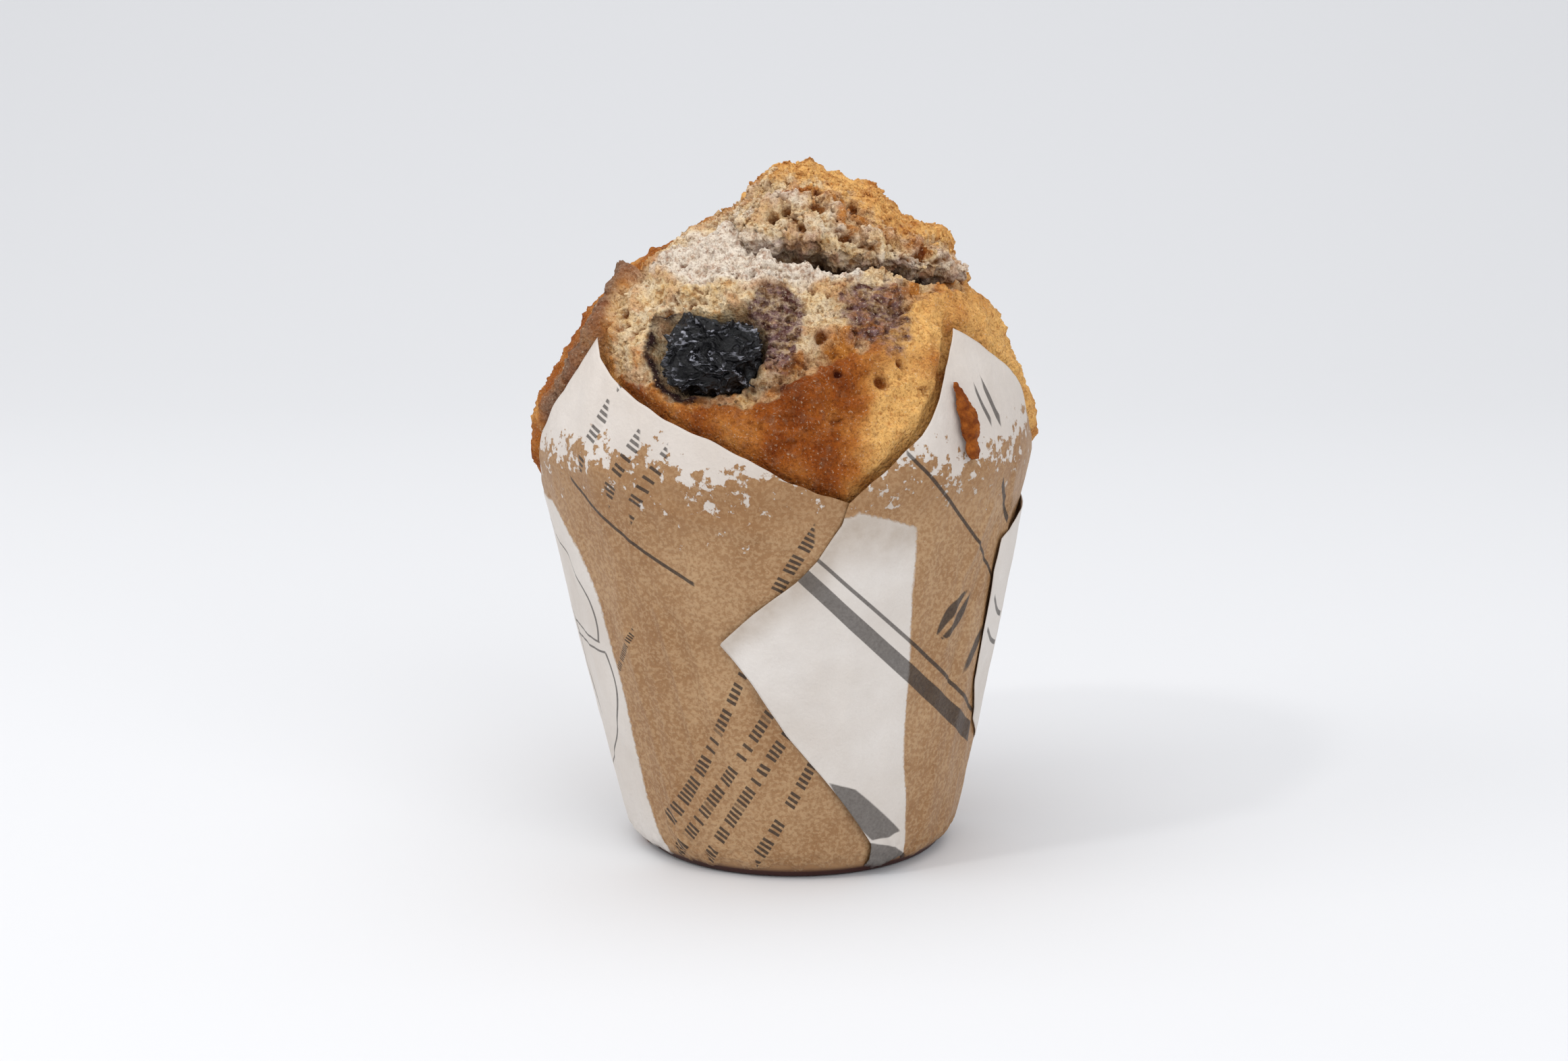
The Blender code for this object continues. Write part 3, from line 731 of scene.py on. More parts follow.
def buildCap(material):
    # each vertex moves outwards by lumps + crumb or crust texture - pores; reach is 1 at the edge, 2 below
    shape = capShape
    seed = shape["seed"]
    grid, reach = capGrid()
    normals = gridNormals(grid, True).reshape(-1, 3)
    points = grid.reshape(-1, 3)
    x, y, z = points.T
    front = smooth((4 - y) / 5)
    wander = rough(points, 4.0, 3, seed + 2)
    fray = rough(points, 1.3, 2, seed + 3)
    crustLine = np.interp(x, *np.array(shape["crustLine"]).T)
    browned = smooth(0.5 + (z - crustLine - 0.6 + wander * 2.2 + fray * 1.0) / 1.6)
    crumb = 1 - np.maximum(browned, smooth((y + 1 + wander * 3) / 4))
    ragged = unsettled(points, 1.4, 1.2, seed + 30)
    pores = poreLayers(ragged, shape["poreLayers"], crumb, seed + 40)
    for poreX, poreZ, wide, tall in shape["pores"]:
        away = np.hypot((x - poreX) / wide, (z - poreZ) / tall)
        pores = np.maximum(pores, smooth(1.25 - 0.95 * away + fray * 0.7) * smooth((-2 - y) / 2))
    pores *= np.clip(2 - reach * 0.8, 0, 1)
    torn, clump = tornCrumb(points, shape["texture"], seed)
    cobbled = rough(points, 1.4, 3, seed + 7, 0.6) * 0.4
    lift = rough(points, 6.0, 2, seed + 4) * 1.2 + wander * 0.8 - pores * shape["poreDepth"] - 0.35
    lift += torn * crumb + cobbled * (1 - crumb)
    lift += smooth(1 - np.abs(reach - 0.97) / 0.12) * 0.4 * crumb
    sunk = 1 - 0.6 * smooth((reach - 1.55) / 0.3)
    points = points + normals * (lift * sunk)[:, None]
    grid = points.reshape(grid.shape)

    low = smooth((103.5 - 0.12 * x - z) / 3)
    paleLeft = low * 0.8 * smooth((2 - x) / 4)
    paleRight = 0.45 * smooth((x - 10) / 6) * smooth((100 - z) / 3)
    pale = smooth((paleLeft + paleRight + 0.06 + wander * 0.9) * front) * 0.75
    brown = -0.12 + wander * 0.7 + 0.22 * smooth((z - 109.5) / 2.5) * front + 0.3 * smooth((y - 6) / 6)
    # the wall under the brow takes the purple and juice colours, darker deeper in: painted shade with a
    # purple-brown tint
    purple = smooth((reach - 0.97) / 0.08) * smooth((x + 8) / 4) * 0.5
    juiceAndShade = smooth((reach - 1.3) / 0.25) * (0.45 + 0.35 * smooth((x - 4) / 6))
    toast = 0.5 * smooth(1 - np.abs(z - crustLine + 1.2) / 2.2) + 0.55 * smooth((x - 5) / 5) * (1 - low)
    toast += 0.6 * smooth(clump * 4 - 0.2) - 0.2 * smooth(-clump * 4 - 0.1)
    # the pores' field darkens them as painted shade
    fields = {"crumb": crumb, "pale": pale, "purple": purple, "juiceAndShade": juiceAndShade, "brown": brown, "toast": toast,
              "grey": np.zeros(len(points)), "poreShade": np.clip(pores, 0, 1)}
    isOpen = (reach < 1.02) & (reach > 0.25) & (pores < 0.2) & (y < 4)
    remember(points, normals, fields, np.flatnonzero(isOpen))
    piece = gridPiece("burstCap", grid, True, grid[0].mean(axis=0), grid[-1].mean(axis=0), fields)
    hand(piece, "muffin", material)
    print("cap", len(piece.data.polygons))


crumbShape = {"count": 1700, "smallest": 0.12, "largest": 0.45, "raised": 0.25, "evenness": 0.7, "seed": 7}


def splitOctahedron():
    # eighteen corners, the six tips and the twelve middles of the sides, and thirty-two outward faces
    tips = np.repeat(np.eye(3), 2, axis=0) * np.tile([[1.0], [-1.0]], (3, 1))
    pairs = [(i, j) for i in range(6) for j in range(i + 1, 6) if i // 2 != j // 2]
    middles = np.array([(tips[i] + tips[j]) for i, j in pairs])
    middles /= np.linalg.norm(middles, axis=1, keepdims=True)
    corners = np.vstack([tips, middles])
    number = {pair: 6 + k for k, pair in enumerate(pairs)}
    faces = []
    for i, j, k in [(i, 2 + j, 4 + k) for i, j, k in np.ndindex(2, 2, 2)]:
        ij, ik, jk = number[(i, j)], number[(i, k)], number[(j, k)]
        faces += [(i, ij, ik), (j, jk, ij), (k, ik, jk), (ij, jk, ik)]
    faces = np.array(faces)
    first, second, third = (corners[faces[:, side]] for side in range(3))
    facing = (np.cross(second - first, third - first) * (first + second + third)).sum(axis=1)
    faces[facing < 0] = faces[facing < 0][:, ::-1]
    return corners, faces


def buildCrumbs(material):
    # each crumb is a split octahedron with its corners pushed in or out, sunk a little into the muffin
    shape = crumbShape
    rng = np.random.default_rng(shape["seed"])
    corners, faces = splitOctahedron()
    stored = {key: np.concatenate(value) for key, value in loose.items()}
    pick = rng.choice(len(stored["points"]), shape["count"], replace=False)
    size = shape["smallest"] + (shape["largest"] - shape["smallest"]) * rng.random(shape["count"]) ** 3
    centre = stored["points"][pick] + stored["normals"][pick] * (size * shape["raised"])[:, None]
    least, spread = shape["evenness"], 2 * (1 - shape["evenness"])
    push = least + spread * rng.random((shape["count"], len(corners), 1))
    squash = least + spread * rng.random((shape["count"], 1, 3))
    points = centre[:, None] + corners[None] * push * squash * size[:, None, None]
    index = faces[None] + (np.arange(shape["count"]) * len(corners))[:, None, None]
    mesh = bpy.data.meshes.new("looseCrumbs")
    mesh.from_pydata((points.reshape(-1, 3) * mm).tolist(), [], index.reshape(-1, 3).tolist())
    for key in crumbFields:
        value = np.repeat(stored[key][pick], len(corners)).astype(np.float32)
        mesh.attributes.new(key, "FLOAT", "POINT").data.foreach_set("value", value)
    mesh.shade_smooth()
    piece = bpy.data.objects.new("looseCrumbs", mesh)
    bpy.context.scene.collection.objects.link(piece)
    hand(piece, None, material)
    print("crumbs", len(mesh.polygons))


berryShape = {
    "columns": 190,
    "rows": 120,
    "nestled": 1.3,
    "foldDepth": 1.4,
    "wrinkleDepth": 0.7,
    "seed": 5,
    "skin": tone(6, 5, 7),
    "bloom": tone(28, 28, 35),
    # the pale fleck colour and its strength are painted glints
    "paintedGlint": tone(186, 186, 196),
    "glintShare": 0.85,
    "thickness": 4.6,
    "squareness": 0.76,  # 1 is round
    "reliefDepth": 0.34,
}


def berryFinish():
    # dark skin, a little paler on its ridges, with pale flecks where a stretched noise is high, which are
    # painted glints on the ridges
    look = berryShape
    paint = Paint("berrySkin")
    coarse = paint.noise(2.2, 4.0)
    fine = paint.noise(0.5, 4.0, 0.6)
    ridge = paint.field("ridge")
    worn = (ridge * 0.55 + (coarse - 0.5) * 0.8 + (fine - 0.5) * 0.6).clamped()
    colour = paint.mix(worn * 0.35, look["skin"], look["bloom"])
    # painted glints: pale flecks on the ridges where a stretched noise is high
    glintMask = paint.noise(0.8, 3.0, 0.6, paint.stretched(0.6, 1.0, 1.7)).above(0.56, 0.05)
    colour = paint.mix(glintMask * coarse.above(0.5, 0.12) * ridge * look["glintShare"], colour, look["paintedGlint"])
    return paint.finish(colour=colour, roughness=0.04 + coarse * 0.14, specular=0.3,
                        normal=paint.relief(fine + coarse * 0.8, look["reliefDepth"], 0.9))


def squared(value):
    # flattens a sine or cosine towards 1 and -1
    return np.sign(value) * np.abs(value) ** berryShape["squareness"]


def buildBerry():
    # a squarish ball, pinched along folds where layered noise crosses zero
    shape = berryShape
    low, high = [np.array(corner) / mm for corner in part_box("blueberry")]
    middle, across, up, out = standing(low, high)
    middle = middle - out * shape["nestled"]
    half = np.array([(high[0] - low[0]) / 2 * 1.02, (high[2] - low[2]) / 2 * 1.02, shape["thickness"]])
    turn = np.linspace(0, 2 * math.pi, shape["columns"], endpoint=False)
    rise = np.linspace(math.pi / 2, -math.pi / 2, shape["rows"] + 2)[1:-1]
    turns, rises = np.meshgrid(turn, rise)
    unit = np.stack([squared(np.cos(turns)) * squared(np.cos(rises)),
                     squared(np.sin(turns)) * squared(np.cos(rises)), squared(np.sin(rises))], axis=-1)
    ball = unit.reshape(-1, 3) * half
    seed = shape["seed"]
    warp = ball + 0.9 * np.stack([rough(ball, 5, 2, seed + k) for k in range(3)], axis=-1)
    fold = 1 - np.clip(np.abs(rough(warp * [0.8, 1.15, 1.0], 6.4, 2, seed + 5)) / 0.26, 0, 1)
    wrinkle = 1 - np.clip(np.abs(rough(warp * [0.75, 1.3, 1.0], 2.3, 2, seed + 9)) / 0.28, 0, 1)
    direction = ball / half ** 2
    direction /= np.linalg.norm(direction, axis=1, keepdims=True)
    lift = shape["foldDepth"] * (fold ** 2 - 0.45) + shape["wrinkleDepth"] * (wrinkle ** 1.5 - 0.4)
    lift += rough(ball, 6.5, 2, seed + 20) * 0.9
    ball = ball + direction * lift[:, None]
    points = middle + ball[:, :1] * across + ball[:, 1:2] * up + ball[:, 2:] * out
    ridge = np.clip(0.6 * fold ** 2 + 0.5 * wrinkle ** 2, 0, 1)
    grid = points.reshape(shape["rows"], shape["columns"], 3)
    topPole, lowPole = grid[0].mean(axis=0), grid[-1].mean(axis=0)
    piece = gridPiece("blueberrySkin", grid, True, topPole, lowPole, {"ridge": ridge})
    hand(piece, "blueberry", berryFinish())
    print("berry", len(piece.data.polygons))


shardShape = {
    "columns": 48,
    "rows": 90,
    "halfWidth": 1.75,
    "halfThickness": 1.15,
    # along its length from the top, as (share, share of the width) and (share, mm to the side)
    "width": [(0, 0.10), (0.12, 0.42), (0.3, 0.72), (0.48, 1.0), (0.62, 0.98), (0.78, 0.62), (0.9, 0.66),
              (1, 0.34)],
    "bow": [(0, -0.6), (0.3, 0.1), (0.5, 0.5), (0.75, 0.1), (1, 0.5)],
    "lean": 1.3,
    "torn": 0.45,
    "seed": 9,
    "dark": tone(122, 58, 12),
    "light": tone(176, 100, 34),
    "darkest": tone(86, 38, 16),
}


def shardFinish():
    # light on dark by a coarse noise, darkest where a fine noise is low
    look = shardShape
    paint = Paint("crustShard")
    coarse = paint.noise(1.8, 4.0)
    fine = paint.noise(0.5, 4.0, 0.65)
    colour = paint.mix(coarse.above(0.55, 0.3), look["dark"], look["light"])
    colour = paint.mix((1 - fine.above(0.42, 0.2)) * 0.6, colour, look["darkest"])
    return paint.finish(colour=colour, roughness=0.7, specular=0.15,
                        normal=paint.relief(fine + coarse, 0.5, 0.8))


def buildShard():
    # a splinter: an oval section carried down its length, wide below the middle and torn at the foot
    shape = shardShape
    low, high = [np.array(corner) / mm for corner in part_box("crust_shard")]
    middle, across, up, out = standing(low, high)
    share = np.linspace(0.01, 0.99, shape["rows"])
    length = (high[2] - low[2]) * 1.01
    width = np.interp(share, *np.array(shape["width"], float).T)
    bow = np.interp(share, *np.array(shape["bow"], float).T) - shape["lean"] * (0.5 - share)
    turn = np.linspace(0, 2 * math.pi, shape["columns"], endpoint=False)
    wide = shape["halfWidth"] * width[:, None] * np.cos(turn)[None] + bow[:, None]
    thick = shape["halfThickness"] * width[:, None] ** 0.7 * np.sin(turn)[None]
    sag = ((share - 0.5) * length) ** 2 / (2 * crownRadius)  # follows the crown
    along = (0.5 - share)[:, None] * length * np.ones_like(wide)
    local = np.stack([wide, along, thick - sag[:, None] - 0.1], axis=-1).reshape(-1, 3)
    section = np.stack([np.cos(turn), 0 * turn, np.sin(turn)], axis=-1)
    outwards = np.repeat(section[None], shape["rows"], 0).reshape(-1, 3)
    local += (rough(local, 1.6, 3, shape["seed"]) * shape["torn"])[:, None] * outwards
    points = middle + local[:, :1] * across + local[:, 1:2] * up + local[:, 2:] * out
    grid = points.reshape(shape["rows"], shape["columns"], 3)[:, ::-1]  # so that its faces look outwards
    piece = gridPiece("crustSplinter", grid, True, grid[0].mean(axis=0), grid[-1].mean(axis=0))
    hand(piece, "crust_shard", shardFinish())
    print("shard", len(piece.data.polygons))


paperLook = {
    "white": tone(226, 220, 214),
    "shade": tone(202, 192, 182),
    "faint": tone(178, 164, 150),
    "soaked": tone(170, 134, 96),
    "soakedDark": tone(144, 104, 65),
    "soakedPale": tone(190, 157, 118),
    "ink": tone(38, 30, 26),
    # the dark foot band: grease with painted shade where the paper meets the floor
    "greaseAndFloorShade": tone(58, 22, 14),
    "leastSoak": 0.12,  # of butter in the white band
    "inkStrength": 0.86,
    "greaseAndFloorShadeStrength": 0.7,
    "crinkleDepth": 0.2,
    "thickness": 0.12,
    "buckle": 0.55,
    "smallBuckle": 0.16,
    "creases": 1.4,
    "crumple": 0.7,
    "leanReach": 72,  # degrees over which columns take on the lean of an edge
    "lift": 0.55,  # a sheet's free edge stands this far off the sheet under it
    "degree": 0.593,  # mm of paper for one degree of turn, at the middle of the wall
}
onPaper = np.array([paperLook["degree"], 1])  # turns (turn, height) into mm of paper
printUnit = 100.0  # mm of paper for 1 of the print's own coordinates
# Each sheet's free edge and hidden edge, as (height, turn), then as (turn, height) the end of its rim,
# the band that stays white and where it lies over another sheet. A crease is (depth, width, line).
sheetPlans = {
    "left": {
        "free": [(0, -88), (20, -106), (36, -120), (46, -112), (57, -105)],
        "hidden": [(0, 40), (6, 38), (12, 30), (17.5, 22), (25.8, 11), (35.1, 2), (40.8, -5), (51.3, 14),
                   (54.6, 19), (59, 24)],
        "rimEnd": (24, 59),
        "band": [(-110, 66), (-80, 66.5), (-67, 66.8), (-53, 67.6), (-41, 67.9), (-31, 68.3), (-26, 67.2),
                 (-21, 64.6), (-17, 64.8), (-12, 65.3), (-6, 66.6), (4, 66), (30, 70), (30, 95), (-110, 95)],
        "layer": [(-130, 60), (-70, 59.4), (-64, 56.5), (-59, 52.7), (-56, 45.8), (-55, 39.8), (-53, 33),
                  (-53, 18.9), (-53, 11.5), (-50, 4), (-50, -5), (-130, -5)],
        "columns": 170,
        "creases": [(0.30, 0.7, [(-34, 45), (-31, 33), (-28, 20)]),
                    (-0.30, 1.1, [(-30, 44), (-26, 30), (-23, 17)]),
                    (0.25, 0.8, [(-26, 43), (-21, 28)]), (0.22, 0.9, [(-46, 40), (-43, 20), (-38, 2)]),
                    (0.35, 0.8, [(-44, 8), (-38, 4), (-35, 0)]),
                    (0.18, 1.5, [(-60, 72), (-30, 62), (0, 58)])],
    },
    "right": {
        "free": [(0, 26), (6, 26), (12, 18), (17.5, 10.5), (25.8, -1), (35.1, -10), (40.8, -17), (46.4, -7.5),
                 (51.3, 2), (54.6, 7), (60.2, 12.6), (63.5, 14)],
        "pressed": 0.3,  # mm inwards round its folded edge
        "hidden": [(0, 110), (10, 98), (22.6, 78), (30.2, 74), (48.5, 73), (53.8, 76), (57.5, 88),
                   (61, 114)],
        "rimEnd": (114, 57),
        "band": [(14, 66), (18, 65.5), (22, 68.4), (27, 69.4), (33, 67.2), (40, 65.4), (43, 66.2),
                 (51, 67.1), (62, 68), (73, 70.8), (90, 73), (120, 70), (120, 95), (14, 95)],
        "layer": [(15.5, 61.5), (16, 62.1), (23, 60.7), (31, 58.7), (31, 47.6), (32, 39.4), (33, 29.6),
                  (35, 19.4),
                  (38, 11.9), (40, 4.4), (40, -5), (-5, -5), (-35, 20), (-35, 45), (-8, 58)],
        "columns": 170,
        "creases": [(0.28, 0.8, [(56, 60), (48, 50), (44, 38)]), (-0.3, 1.0, [(60, 56), (54, 46), (50, 30)]),
                    (0.16, 1.6, [(-4, 44), (14, 28), (24, 8)]), (0.3, 0.8, [(30, 8), (38, 3), (48, 1)]),
                    (-0.22, 1.4, [(34, 62), (24, 50)]), (0.22, 0.7, [(64, 66), (70, 50)])],
    },
    "backRight": {
        "stand": 0.4,  # share of the usual lift
        "free": [(0, 104), (10, 92), (22.6, 70), (30.2, 64), (39.4, 63), (48.5, 62), (53.8, 64), (57, 76),
                 (59.5, 106)],
        "hidden": [(0, 207), (20, 189), (36, 174), (46, 182), (59, 192)],
        "rimEnd": (192, 58),
        "band": [(100, 68), (146, 66), (190, 68), (200, 95), (100, 95)],
        "layer": [(50, 60), (92, 62), (90, 40), (98, 18), (110, -5), (50, -5)],
        "columns": 130,
        "creases": [(0.3, 0.9, [(120, 60), (124, 30), (118, 4)]), (-0.25, 1.2, [(150, 55), (146, 20)]),
                    (0.3, 0.8, [(164, 70), (170, 40)])],
    },
    "backLeft": {
        "free": [(0, 198), (20, 180), (36, 165), (46, 173), (59.5, 183)],
        "hidden": [(0, 281), (20, 263), (36, 249), (46, 257), (57, 264)],
        "rimEnd": (264, 55),
        "band": [(170, 67), (220, 68), (262, 66), (270, 95), (170, 95)],
        "layer": [(240, 62), (300, 62), (300, -5), (236, -5), (228, 30)],
        "columns": 130,
        "creases": [(0.3, 0.9, [(200, 60), (204, 30), (198, 4)]), (-0.25, 1.2, [(232, 60), (226, 20)]),
                    (0.25, 0.8, [(214, 72), (220, 48)])],
    },
}


# Each sheet's printed lines, as ((turn, height) points, half width, whether it runs upright).
printedRules = {
    "left": [([(-56, 64.8), (-48, 59.9), (-38, 56.4), (-30, 52.8), (-22, 50.2)], 0.28, False),
             ([(-82, 55.2), (-67, 50.2), (-61, 43.9), (-59.3, 37.3)], 0.2, True),
             ([(-84, 37.9), (-72, 37.6), (-59, 37.3)], 0.2, False),
             ([(-84, 35.6), (-70, 35.7), (-57.5, 35.7)], 0.2, False),
             ([(-57.5, 35.7), (-58, 27), (-66, 19), (-76, 14)], 0.2, True),
             ([(-92, 52), (-86, 44), (-82, 36), (-80, 20), (-84, 8)], 0.18, True)],
    "right": [([(-2, 56.6), (4, 52.4), (14, 45.8), (25.5, 39), (40.5, 31.1), (69.5, 20.5)], 1.3, False),
              ([(2, 58.2), (7, 54.9), (18, 48.3), (32, 40.4), (50, 31.4), (69, 24.2)], 0.3, False),
              ([(27, 70.8), (33, 66.6), (42, 60.7), (54, 53.2), (63, 47.5)], 0.27, False),
              ([(52, 79.5), (54.5, 76), (57, 73.4)], 0.42, False),
              ([(48.6, 79), (51, 75.8), (53, 73.5)], 0.3, False),
              ([(58.5, 63.8), (61, 61.6), (63.5, 60)], 0.45, False),
              ([(62, 60.4), (64.5, 58.2), (67, 56.5)], 0.35, False)],
    "backRight": [([(66, 44), (70, 41.6), (75, 40)], 0.35, False),
                  ([(66, 38.5), (70, 36.6), (76, 35)], 0.35, False)],
    "backLeft": [([(190, 30), (206, 40), (226, 47)], 0.2, False)],
}
# Each sheet's rows of short bars, as ((turn, height) points, height of a bar).
printedRows = {
    "left": [([(-45, 6.5), (-23, 21.1), (-11, 35.1)], 2.7), ([(-44, 0.9), (-19, 16.3), (-4, 28.9)], 2.7),
             ([(-31, 0.6), (-12, 14.6), (0, 24.7)], 2.7), ([(-13, 1.6), (-2, 10.3), (7, 19.7)], 2.7),
             ([(-51, 65.1), (-43, 74.4)], 2.5), ([(-43, 60.9), (-33, 70.7)], 2.5),
             ([(-37, 58.7), (-26, 68.6)], 2.5), ([(-53, 32.4), (-43, 40)], 1.3),
             ([(-41.5, 78.6), (-39, 80.4)], 2.2), ([(-4, 46.2), (6.5, 57)], 2.3)],
}
# A row of bars: sizes are shares of the bar's height, and shares of all bars or groups.
tickShape = {"pitch": 0.36, "height": 0.78, "halfStroke": 0.29, "group": 5.0, "joined": 0.25, "leftOut": 0.08}
# Closed printed shapes of the right sheet, as (turn, height), its leaf and its oval.
printedShapes = {
    "upperBlock": [(11, 17.6), (19, 16.2), (37, 7.4), (26, 6.8), (17, 11.5)],
    "lowerBlock": [(24, 6.6), (25, -1), (46, -1), (44, 1.4), (35, 5)],
    "leaf": (46.5, 43.2),
    "leafHalf": (5.2, 2.3),
    "leafSlope": 1.1,
    "leafRun": 1.49,
    "leafVein": 0.45,
    "oval": (59.5, 36.0),
    "ovalHalf": (4.0, 1.1),
    "ovalLean": 52,
    "foldedEdge": [(14, 60.2), (8, 54.6), (3, 51.3), (-17, 40.8)],
}


def parabola(points, upright=False):
    # a + b u + c u^2 through a few (turn, height) points, over mm of paper, with both ends of u
    spots = np.array(points, float) * onPaper
    if upright:
        spots = spots[:, ::-1]
    c, b, a = np.polyfit(spots[:, 0], spots[:, 1], 2).tolist()
    return a, b, c, float(spots[:, 0].min()), float(spots[:, 0].max())


def between(value, start, end):
    # 1 from start to end and 0 outside, with a soft step at both
    return value.above(start, 0.3) * (1 - value.above(end, 0.3))


def printedRule(u, v, points, half, upright=False):
    # a thin printed line: 1 within half its width of the parabola and between its ends
    a, b, c, start, end = parabola(points, upright)
    if upright:
        u, v = v, u
    slope = math.hypot(1, b + c * (start + end))
    off = abs(v - (a + u * b + u * u * c)) / slope
    return (1 - off.above(half, 0.12)) * between(u, start, end)


def chance(paint, cell):
    # a repeatable number from 0 to 1 for each whole number
    return paint.add("ShaderNodeTexWhiteNoise", {"noise_dimensions": "1D"}, {"W": cell}, "Value")


def tickRow(paint, u, v, points, size, seed):
    # upright ticks one to a cell along a parabola, some left out, with a gap after most groups of five
    if len(points) == 2:
        points = [points[0], np.mean(points, axis=0).tolist(), points[1]]
    a, b, c, start, end = parabola(points)
    look = tickShape
    lean = math.atan(b + c * (start + end))
    base = (v - (a + u * b + u * u * c)) * math.cos(lean)
    along = (u * math.cos(lean) + v * math.sin(lean)) / (size * look["pitch"])
    cell = along.maths("FLOOR", along)
    group = along.maths("FLOOR", along / look["group"])
    stroke = 1 - abs(along - cell - 0.5).above(look["halfStroke"], 0.1)
    body = base.above(0.0, 0.12) * (1 - base.above(size * look["height"], 0.12))
    isLast = (along - group * look["group"]).above(look["group"] - 1, 0.05)
    gap = 1 - isLast * chance(paint, group + seed * 3).above(look["joined"], 0.05)
    kept = chance(paint, cell + seed).above(look["leftOut"], 0.02)
    return stroke * body * gap * kept * between(u, start, end)


def paperFinish(name):
    # white paper, mixed with soaked paper outside the band and over other sheets, then ink on top and a dark
    # foot band of grease with painted shade at the floor
    look = paperLook
    paint = Paint(name + "Paper")
    spot = paint.add("ShaderNodeUVMap", {"uv_map": "print"})
    parts = paint.add("ShaderNodeSeparateXYZ", None, {0: spot}, "X")
    u = parts * printUnit
    v = Link(paint, parts.socket.node.outputs["Y"]) * printUnit
    blotch = paint.noise(3.0, 3.0, 0.6)
    flake = paint.noise(0.62, 2.0, 0.6)
    fibre = paint.noise(0.5, 4.0, 0.7)
    cloud = paint.noise(16.0, 3.0)
    near = paint.field("band")
    flakes = paint.noise(1.7, 3.0, 0.62)
    band = near * 0.055 + near.least(0.0) * 0.09 + (blotch - 0.5) * 1.3 + (flakes - 0.5) * 3.0 + 0.22
    layer = paint.field("layer") + (flake - 0.5) * 0.8
    soak = (look["leastSoak"] + band.above(0.0, 0.14) * (1 - look["leastSoak"])) * layer.above(0.0, 0.4)
    white = paint.mix((cloud * 1.6 - 0.3).clamped(), look["white"], look["shade"])
    white = paint.mix((fibre * 1.4 - 0.4).clamped() * 0.4, white, look["shade"])
    faint = (paint.field("faint") * (0.4 + blotch * 1.2)).clamped()
    white = paint.mix(faint, white, look["faint"])
    brown = paint.mix(cloud.above(0.5, 0.35), look["soaked"], look["soakedDark"])
    brown = paint.mix(blotch.above(0.56, 0.3) * 0.3, brown, look["soakedPale"])
    brown = paint.mix(flake.above(0.54, 0.1) * 0.4, brown, look["soakedPale"])
    brown = paint.mix((1 - flake.above(0.45, 0.1)) * 0.5, brown, look["soakedDark"])
    brown = paint.mix(near.above(-9.0, 10.0) * (1 - near.above(6.0, 6.0)) * 0.35, brown, look["soakedDark"])
    colour = paint.mix(soak, white, brown)
    marks = paint.field("ink").above(0.0, 0.25)
    for rule in printedRules[name]:
        marks = marks.most(printedRule(u, v, *rule))
    for number, (points, size) in enumerate(printedRows.get(name, [])):
        marks = marks.most(tickRow(paint, u, v, points, size, 7.0 + number))
    faded = marks * (0.9 + (fibre - 0.5) * 0.3).clamped()
    colour = paint.mix((faded * (look["inkStrength"] + soak * 0.1)).clamped(), colour, look["ink"])
    # dark band along the foot: grease with painted shade where the paper meets the floor
    greaseAndFloorShade = paint.field("greaseAndFloorShade").above(0.0, 1.2)
    colour = paint.mix(greaseAndFloorShade * look["greaseAndFloorShadeStrength"], colour, look["greaseAndFloorShade"])
    crinkle = paint.noise(2.4, 3.0, 0.6) * 1.2 + flake * (0.3 + soak * 0.9) + fibre * 0.25
    return paint.finish(colour=colour, roughness=0.6 - soak * 0.14, specular=0.32,
                        normal=paint.relief(crinkle, look["crinkleDepth"], 0.8))


def sheetGrid(name, seed):
    # columns run from the free edge to the hidden one and lean with both; rows run from the rim down
    plan = sheetPlans[name]
    rimTurns, rimHeights = np.array(petalOutlines[name] + [plan["rimEnd"]], float).T
    firstTurn, lastTurn = rimTurns[0], rimTurns[-1]
    turn = np.linspace(firstTurn, lastTurn, plan["columns"])
    for corner in rimTurns[1:-1]:
        turn[np.argmin(np.abs(turn - corner))] = corner
    tops = np.interp(turn, rimTurns, rimHeights)
    tops = tops + ripple(np.stack([turn, 0 * turn, 0 * turn], axis=-1), 6.0, seed) * 0.35
    down = np.concatenate([np.linspace(1, 0.06, 158), np.linspace(0.05, 0.0, 9)])
    heights = tops[None] * down[:, None]
    freeHeight, freeTurn = np.array(plan["free"], float).T
    hiddenHeight, hiddenTurn = np.array(plan["hidden"], float).T
    nearFree = np.clip(1 - (turn - firstTurn) / paperLook["leanReach"], 0, 1)
    nearHidden = np.clip(1 - (lastTurn - turn) / paperLook["leanReach"], 0, 1)
    turns = turn[None] + nearFree[None] * (np.interp(heights, freeHeight, freeTurn) - freeTurn[-1])
    turns = turns + nearHidden[None] * (np.interp(heights, hiddenHeight, hiddenTurn) - hiddenTurn[-1])
    across = (turn - firstTurn) / (lastTurn - firstTurn)
    return turns, heights, np.repeat(across[None], len(down), 0).reshape(-1)


def sheetRelief(plan, flat, across, edges, seed):
    # mm off the wall: free edge + buckles + creases + crumpled foot + the layer under it + the petal's tip
    height = flat[:, 1]
    place = np.stack([flat[:, 0] / 7, height / 30, np.full(len(flat), seed)], axis=-1)
    buckle = rough(place, 1.0, 2, seed) * paperLook["buckle"]
    buckle += rough(place * [2.6, 3.6, 1], 1.0, 2, seed + 3) * paperLook["smallBuckle"]
    for depth, width, line in plan["creases"]:
        away = lineDistance(flat, np.array(line) * onPaper) / width
        buckle += paperLook["creases"] * depth * np.exp(-away ** 2)
    crumple = web(place * [5, 16, 1], 1.0, 2, seed + 7) * smooth(1 - height / 7) * paperLook["crumple"]
    ease = smooth(height / 8)
    proud = paperLook["lift"] * plan.get("stand", 1.0) * (1 - across) - 0.25 * across
    off = proud * smooth(height / 4 + 0.15) + buckle * ease + crumple * (ease + 0.25)
    off += smooth(0.5 - edges / 0.8) * 0.14 + smooth((height - 72) / 14) * 0.45
    return off - np.exp(-((height - 60) / 5) ** 2) * plan.get("pressed", 0)


